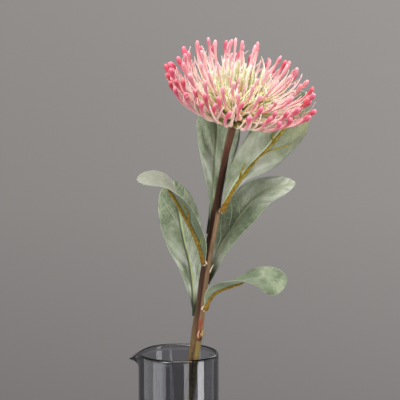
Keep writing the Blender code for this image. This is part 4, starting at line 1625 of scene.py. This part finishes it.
set_surface(tree, shader, colour, grain, 0.0002)
print("nodes of the ribbon finish:", len(tree.nodes))

# %% [markdown]
# The ribbons stand for no solid of their own, because the solids stop at the styles.
# They only ride with the rest.

# %% Ribbon pieces
FRONT_BEARING = -88
FRONT_WIDE = 0.65
FRONT_PALER = 0.45
for order in range(5):
    front = around(np.radians(whorl_numbers(order)[1]), FRONT_BEARING, FRONT_WIDE)
    blush = RIBBON_BLUSH[order] * (1 - FRONT_PALER * front)
    for which in (0, 1):
        (points, share), seed = whorl_ribbons(order, which)
        ribbons = skin(
            f"ribbons_{order + 1}_{'left' if which else 'right'}", points, ribbon_finish,
            along=share[None, :, None], ripe=wobble(seed, 23)[:, None, None],
            blush=blush[:, None, None], edge=RIBBON_EDGE,
        )
        belongs(ribbons, "petal_pink")

# %% [markdown]
# The unopened middle of the head is a basket: rings of broader ribbons that lean in over
# one another and roll out only at their tips. They are shorter at the front, so that the
# viewer looks in over them.

# %% Basket
# Angle of the seat, how many, lean on the way out and at the top, length, half width.
BASKET = (
    (74.0, 22, 74.0, 10.0, 24.0, 1.6), (62.0, 24, 58.0, -2.0, 28.0, 1.8),
    (50.0, 20, 44.0, -6.0, 27.0, 1.8), (36.0, 14, 30.0, -8.0, 24.0, 1.7),
    (20.0, 9, 14.0, -6.0, 19.0, 1.5),
)
BASKET_CURL = (30, 40)  # degrees outwards in the last fifth, and how uneven
BASKET_LEAN_UNEVEN = 6
FRONT_LEANS_OUT = 22
FRONT_SHORTER = 0.42
BASKET_BLUSH = 0.25  # of the outer ring


def basket_ribbons(ring, seat, count, lean_out, lean_top, length, wide, rows=18):
    """A ring of ribbons. The lean goes evenly from the way out to that at the top. A curl
    is added in the last fifth, with the 1.5th power of the way through it, and at the
    front each leans out more, and is shorter, by a sine of its bearing."""
    seed = 700 + 40 * ring + np.arange(count)
    bearing = 360.0 / count * (np.arange(count) + 0.5 * (ring % 2) + 0.25 * wobble(seed, 2))
    front = np.clip(-np.sin(np.radians(bearing)), 0, None)
    r = np.linspace(0, 1, rows)
    roll = np.clip((r - 0.8) / 0.2, 0, None) ** 1.5
    curl = BASKET_CURL[0] + BASKET_CURL[1] * wobble(seed, 4)
    lean = lean_out + (lean_top - lean_out) * r + BASKET_LEAN_UNEVEN * wobble(seed, 5)[:, None] + (
        curl[:, None] * roll + FRONT_LEANS_OUT * front[:, None] * r
    )
    drift = (DRIFT * wobble(seed, 7))[:, None] * r**2
    lengths = length * (1 + UNEVEN_HUG * wobble(seed, 6) - FRONT_SHORTER * front)
    wide = wide * (1 + UNEVEN_WIDTH * wobble(seed, 8))
    return ribbon_grids(seat, lean, lengths, bearing[:, None] + drift, wide, 0.2), seed


for ring, row in enumerate(BASKET):
    (points, share), seed = basket_ribbons(ring, *row)
    basket = skin(
        f"basket_{ring + 1}", points, ribbon_finish,
        along=share[None, :, None], ripe=wobble(seed, 9)[:, None, None],
        blush=BASKET_BLUSH * (ring == 0), edge=RIBBON_EDGE,
    )
    belongs(basket, "petal_pink")

# %% [markdown]
# ## Woolly knob and bracts
#
# The florets sit in a knob of short wool. Single hairs would be far too fine to see, so
# the knob is a turned surface, roughened by waves and by its bump.


# %% Knob
KNOB_RADIUS = 10.4
KNOB_CONE = ((2.9, 0.3), (3.3, 0.4), (5.0, 1.4), (6.8, 2.5), (8.4, 3.6), (9.2, 4.4))


def knob_grid(rows=40, columns=96):
    """A dome on a cone, turned round the head's axis. Fine waves in both directions, and
    a share of noise from point to point, rough it up like wool."""
    angle = np.radians(np.linspace(100, 1, rows - len(KNOB_CONE)))
    cone_out, cone_up = np.array(KNOB_CONE).T
    out = np.concatenate([cone_out, KNOB_RADIUS * np.sin(angle)])
    up = np.concatenate([cone_up, DOME_HEIGHT + KNOB_RADIUS * np.cos(angle)])
    turn = full_turn(columns)[None, :]
    row = np.arange(rows)[:, None]
    tuft = 0.25 * np.sin(16 * turn + 2.1 * row) + 0.18 * wobble(row * 97 + np.arange(columns), 3)
    out = np.clip(out[:, None] + tuft * (row > 1), 0.15, None)
    up = up[:, None] + 0.5 * tuft * (row > 1)
    return from_head(np.stack([out * np.cos(turn), out * np.sin(turn), up + 0 * turn], axis=-1))


wool = grainy_finish(
    "receptacle_wool", 1200.0, 4.0,
    ((0.25, tint(176, 192, 52)), (0.5, tint(208, 218, 84)), (0.75, tint(236, 236, 140))),
    0.0008, Roughness=0.85, Sheen_Weight=0.4, Specular_IOR_Level=0.2,
)
belongs(skin("woolly_knob", knob_grid(), wool), "receptacle_wool", "receptacle")


# %% [markdown]
# Below the knob, two rings of small pointed bracts overlap like roof tiles. A tile is a
# scoop: it comes out of the stem, widens, and turns up at its tip. The second ring
# stands in the gaps of the first.

# %% Bracts
BRACTS = 11
BRACT_LENGTH = 8.6
BRACT_HALF_WIDTH = 3.4
BRACT_HALF_THICKNESS = 0.28
BRACT_FOOT = -1.2  # height of its start
BRACT_WIDEST = 0.42
BRACT_TURNS_UP = (2.6, 0.6)
BRACT_EDGE_RISES = 0.9


def bract_grids(count, start, rise, half_turn, rows=14, columns=16):
    """Scoops in a ring. The half width is an ellipse's of the way along. Edges are raised
    by the square of the share across, and the tip by the square of the way along."""
    t = np.linspace(0.0, 1.0, rows)[None, :, None]
    share, side = there_and_back(np.linspace(-1, 1, columns // 2 + 1))
    seed = np.arange(count)[:, None, None] + 10 * start
    turn = 2 * math.pi * (np.arange(count)[:, None, None] + half_turn) / count
    length = BRACT_LENGTH + 0.8 * wobble(seed, 2)
    oval = np.sqrt(np.clip(1 - ((t - BRACT_WIDEST) / 0.585) ** 2, 0, 1))
    half = BRACT_HALF_WIDTH * oval * (1 - 0.25 * t)
    out = start + length * t
    turns_up = BRACT_TURNS_UP[0] + BRACT_TURNS_UP[1] * wobble(seed, 5)
    up = BRACT_FOOT + rise * t + turns_up * t**2 + BRACT_EDGE_RISES * share**2 * (1 - t)
    up = up + BRACT_HALF_THICKNESS * side * np.sqrt(np.clip(1 - share**2, 0, 1))
    x, y = out, half * share
    grids = np.stack([
        x * np.cos(turn) - y * np.sin(turn), x * np.sin(turn) + y * np.cos(turn), up + 0 * x,
    ], axis=-1)
    return from_head(grids), {"along": t, "share": share, "tone": 0.5 * wobble(seed, 7)}


bract_finish, tree, shader = new_finish("bract_green", Roughness=0.6, Sheen_Weight=0.15)
grain = noise(tree, 600.0, 3.0)
driver = plus_part(tree, field(tree, "tone"), 0.2, field(tree, "along"))
driver = plus_part(tree, grain, 0.3, driver)
colour = ramp(tree, driver, (
    (0.1, tint(136, 152, 80)), (0.6, tint(176, 192, 118)), (0.9, tint(206, 214, 152)),
    (1.15, tint(170, 140, 100)),
))
rim = band(tree, sums(tree, "ABSOLUTE", field(tree, "share")), 0.75, 1.0, 0.0, 0.7)
set_surface(tree, shader, layer(tree, rim, colour, tint(62, 74, 36)), grain, 0.0002)
# Each ring starts at a radius, rises by so much, and is turned by a share of a bract.
for ring, (start, rise, half_turn) in enumerate(((5.0, 2.2, 0.0), (4.4, 0.6, 0.5))):
    points, fields = bract_grids(BRACTS, start, rise, half_turn)
    bracts = skin(f"bracts_{ring + 1}", points, bract_finish, **fields)
    belongs(bracts, "bract_green", "bract_cup")

# %% [markdown]
# ## Side bud, leaf scar and torn sheaths
#
# Just above the vase a leaf has been taken off. What is left is a bud in its corner and
# a pale crescent of bark round it. At the foot of each leaf that has a brown rib, a torn
# end of sheath shows as a ragged cream cup, and one strip of it bends away on its own.

# %% Bud shape
BUD_HEIGHT = 210.0
BUD_BEARING = -50.0
BUD_RADIUS = 1.7
BUD_LENGTH = 5.2


def bud_grid(rows=26, columns=32):
    """An egg whose surface steps in twice, where one scale ends over the next."""
    angle = np.linspace(0.06, math.pi - 0.06, rows)[:, None]
    turn = full_turn(columns)[None, :]
    high = -np.cos(angle)
    edge = 0.35 * np.sin(2 * turn + 1.0)
    step = 0.10 * (np.floor(1.5 * (high + edge) + 2.5) % 2)
    radius = BUD_RADIUS * np.sin(angle) * (1.0 - 0.12 * high - step)
    centre = beside_stem(BUD_HEIGHT, BUD_BEARING, BUD_RADIUS - SUNK)
    lean = np.array([0.18, -0.08, 1.0])
    return (
        centre + high[..., None] * lean * BUD_LENGTH / 2
        + np.stack([radius * np.cos(turn), radius * np.sin(turn), 0 * radius * turn], axis=-1)
    )


bud_finish = grainy_finish(
    "bud_scale", 900.0, 3.0,
    ((0.3, tint(92, 60, 26)), (0.5, tint(136, 110, 56)), (0.75, tint(186, 160, 112))),
    0.0003, Roughness=0.55,
)
belongs(skin("side_bud", bud_grid(), bud_finish), "bark", "axillary_bud")


# %% [markdown]
# The crescent lies on the bark. It is a tube that tapers to both ends, carried along an
# arc of bearings and heights.


# %% Crescent
def stem_surface(bearing, height, proud=0.0):
    """Points on the bark, or a little proud of it, at bearings in degrees and heights."""
    angle = np.radians(bearing)
    centre = np.stack([np.interp(height, STEM_LINE[:, 2], STEM_LINE[:, k]) for k in range(2)], -1)
    out = np.stack([np.cos(angle), np.sin(angle)], -1)
    place = centre + (stem_radius(height) + proud)[:, None] * out
    return np.column_stack([place, height])


def crescent_grid(rows=30, sides=10):
    """A tube in an arc on the bark, thick in the middle and pointed at both ends."""
    place = np.linspace(-1, 1, rows)
    path = stem_surface(-66 - 16 * (1 - place**2), BUD_HEIGHT - 0.4 + 3.2 * place, -0.15)
    tangent = unit(np.gradient(path, axis=0))
    side = unit(np.cross(tangent, (0.4, -0.9, 0.0)))
    radius = 0.38 * np.sqrt(np.clip(1.0 - place**2, 0.02, 1))
    return rings(path, side, np.cross(side, tangent), radius, sides)


scar = grainy_finish(
    "scar_pink", 1100.0, 3.0, ((0.35, tint(206, 150, 128)), (0.65, tint(238, 206, 186))),
    0.0003, Roughness=0.6,
)
belongs(skin("scar_crescent", crescent_grid(), scar), "bark")

# %% [markdown]
# A sheath is a cup of a few rings round the foot of a stalk. The tear is in how far each
# ring hangs down: the widest one hangs the most unevenly.

# %% Sheaths
# Radius, way back down the stalk, and how ragged, for each ring of a sheath.
SHEATH_RINGS = (
    (0.9, 1.6, 0.0), (1.5, 1.4, 0.0), (1.75, 0.6, 0.1), (1.95, -0.4, 0.5), (2.1, -1.0, 1.0),
    (1.8, -0.8, 0.9), (0.7, 0.2, 0.0),
)


def sheath_grid(leaf, seed, columns=36):
    """A short ragged cup round the foot of a leaf's stalk. Its lower edge goes up and
    down by a few sines, and its last ring lies inside, so that the edge looks thin."""
    line, across, up = leaf_frame(leaf, np.linspace(0, 0.1, 30))
    tangent = unit(line[5] - line[0])
    turn = full_turn(columns)
    torn = 0.6 * np.sin(5 * turn + seed) + 0.5 * np.sin(11 * turn + 2 * seed)
    torn = torn + 0.3 * np.sin(23 * turn)
    spoke = np.cos(turn)[:, None] * across[0] + np.sin(turn)[:, None] * up[0]
    return np.stack([
        line[0] + radius * spoke + (drop + torn * ragged)[:, None] * tangent
        for radius, drop, ragged in SHEATH_RINGS
    ])


cream = grainy_finish(
    "torn_cream", 1100.0, 4.0,
    ((0.3, tint(176, 150, 116)), (0.5, tint(216, 200, 172)), (0.7, tint(238, 230, 212))),
    0.0004, Roughness=0.7,
)
sheaths = np.stack([sheath_grid(leaf, k) for k, leaf in enumerate(LEAVES) if not leaf["stalk"]])
belongs(skin("torn_sheaths", sheaths, cream), "leaf_green")


# %% [markdown]
# One torn strip stands off the bark on its own. A flat oval carried along a path that
# leaves the bark gives its thickness and its bend at once.


# %% Flap
def flap_grid(bearing, low, high, rows=12, sides=10):
    """A torn strip that starts on the bark and bends away from it: a flat oval carried up
    along the stem, out by the square of the way along."""
    place = np.linspace(0, 1, rows)
    path = stem_surface(bearing + 20 * place, low + (high - low) * place, 0.2 + 1.6 * place**2)
    tangent = unit(np.gradient(path, axis=0))
    angle = math.radians(bearing + 90)
    side = np.broadcast_to([math.cos(angle), math.sin(angle), 0.0], path.shape)
    out = np.cross(side, tangent)
    width = 1.5 * np.sqrt(np.clip(1 - (2 * place - 0.9) ** 2, 0.03, 1))
    turn = full_turn(sides)
    return path[:, None] + width[:, None, None] * (
        np.cos(turn)[:, None] * side[:, None] + 0.3 * np.sin(turn)[:, None] * out[:, None]
    )


belongs(skin("torn_flap", flap_grid(-18, 255.0, 261.5), cream), "leaf_green")
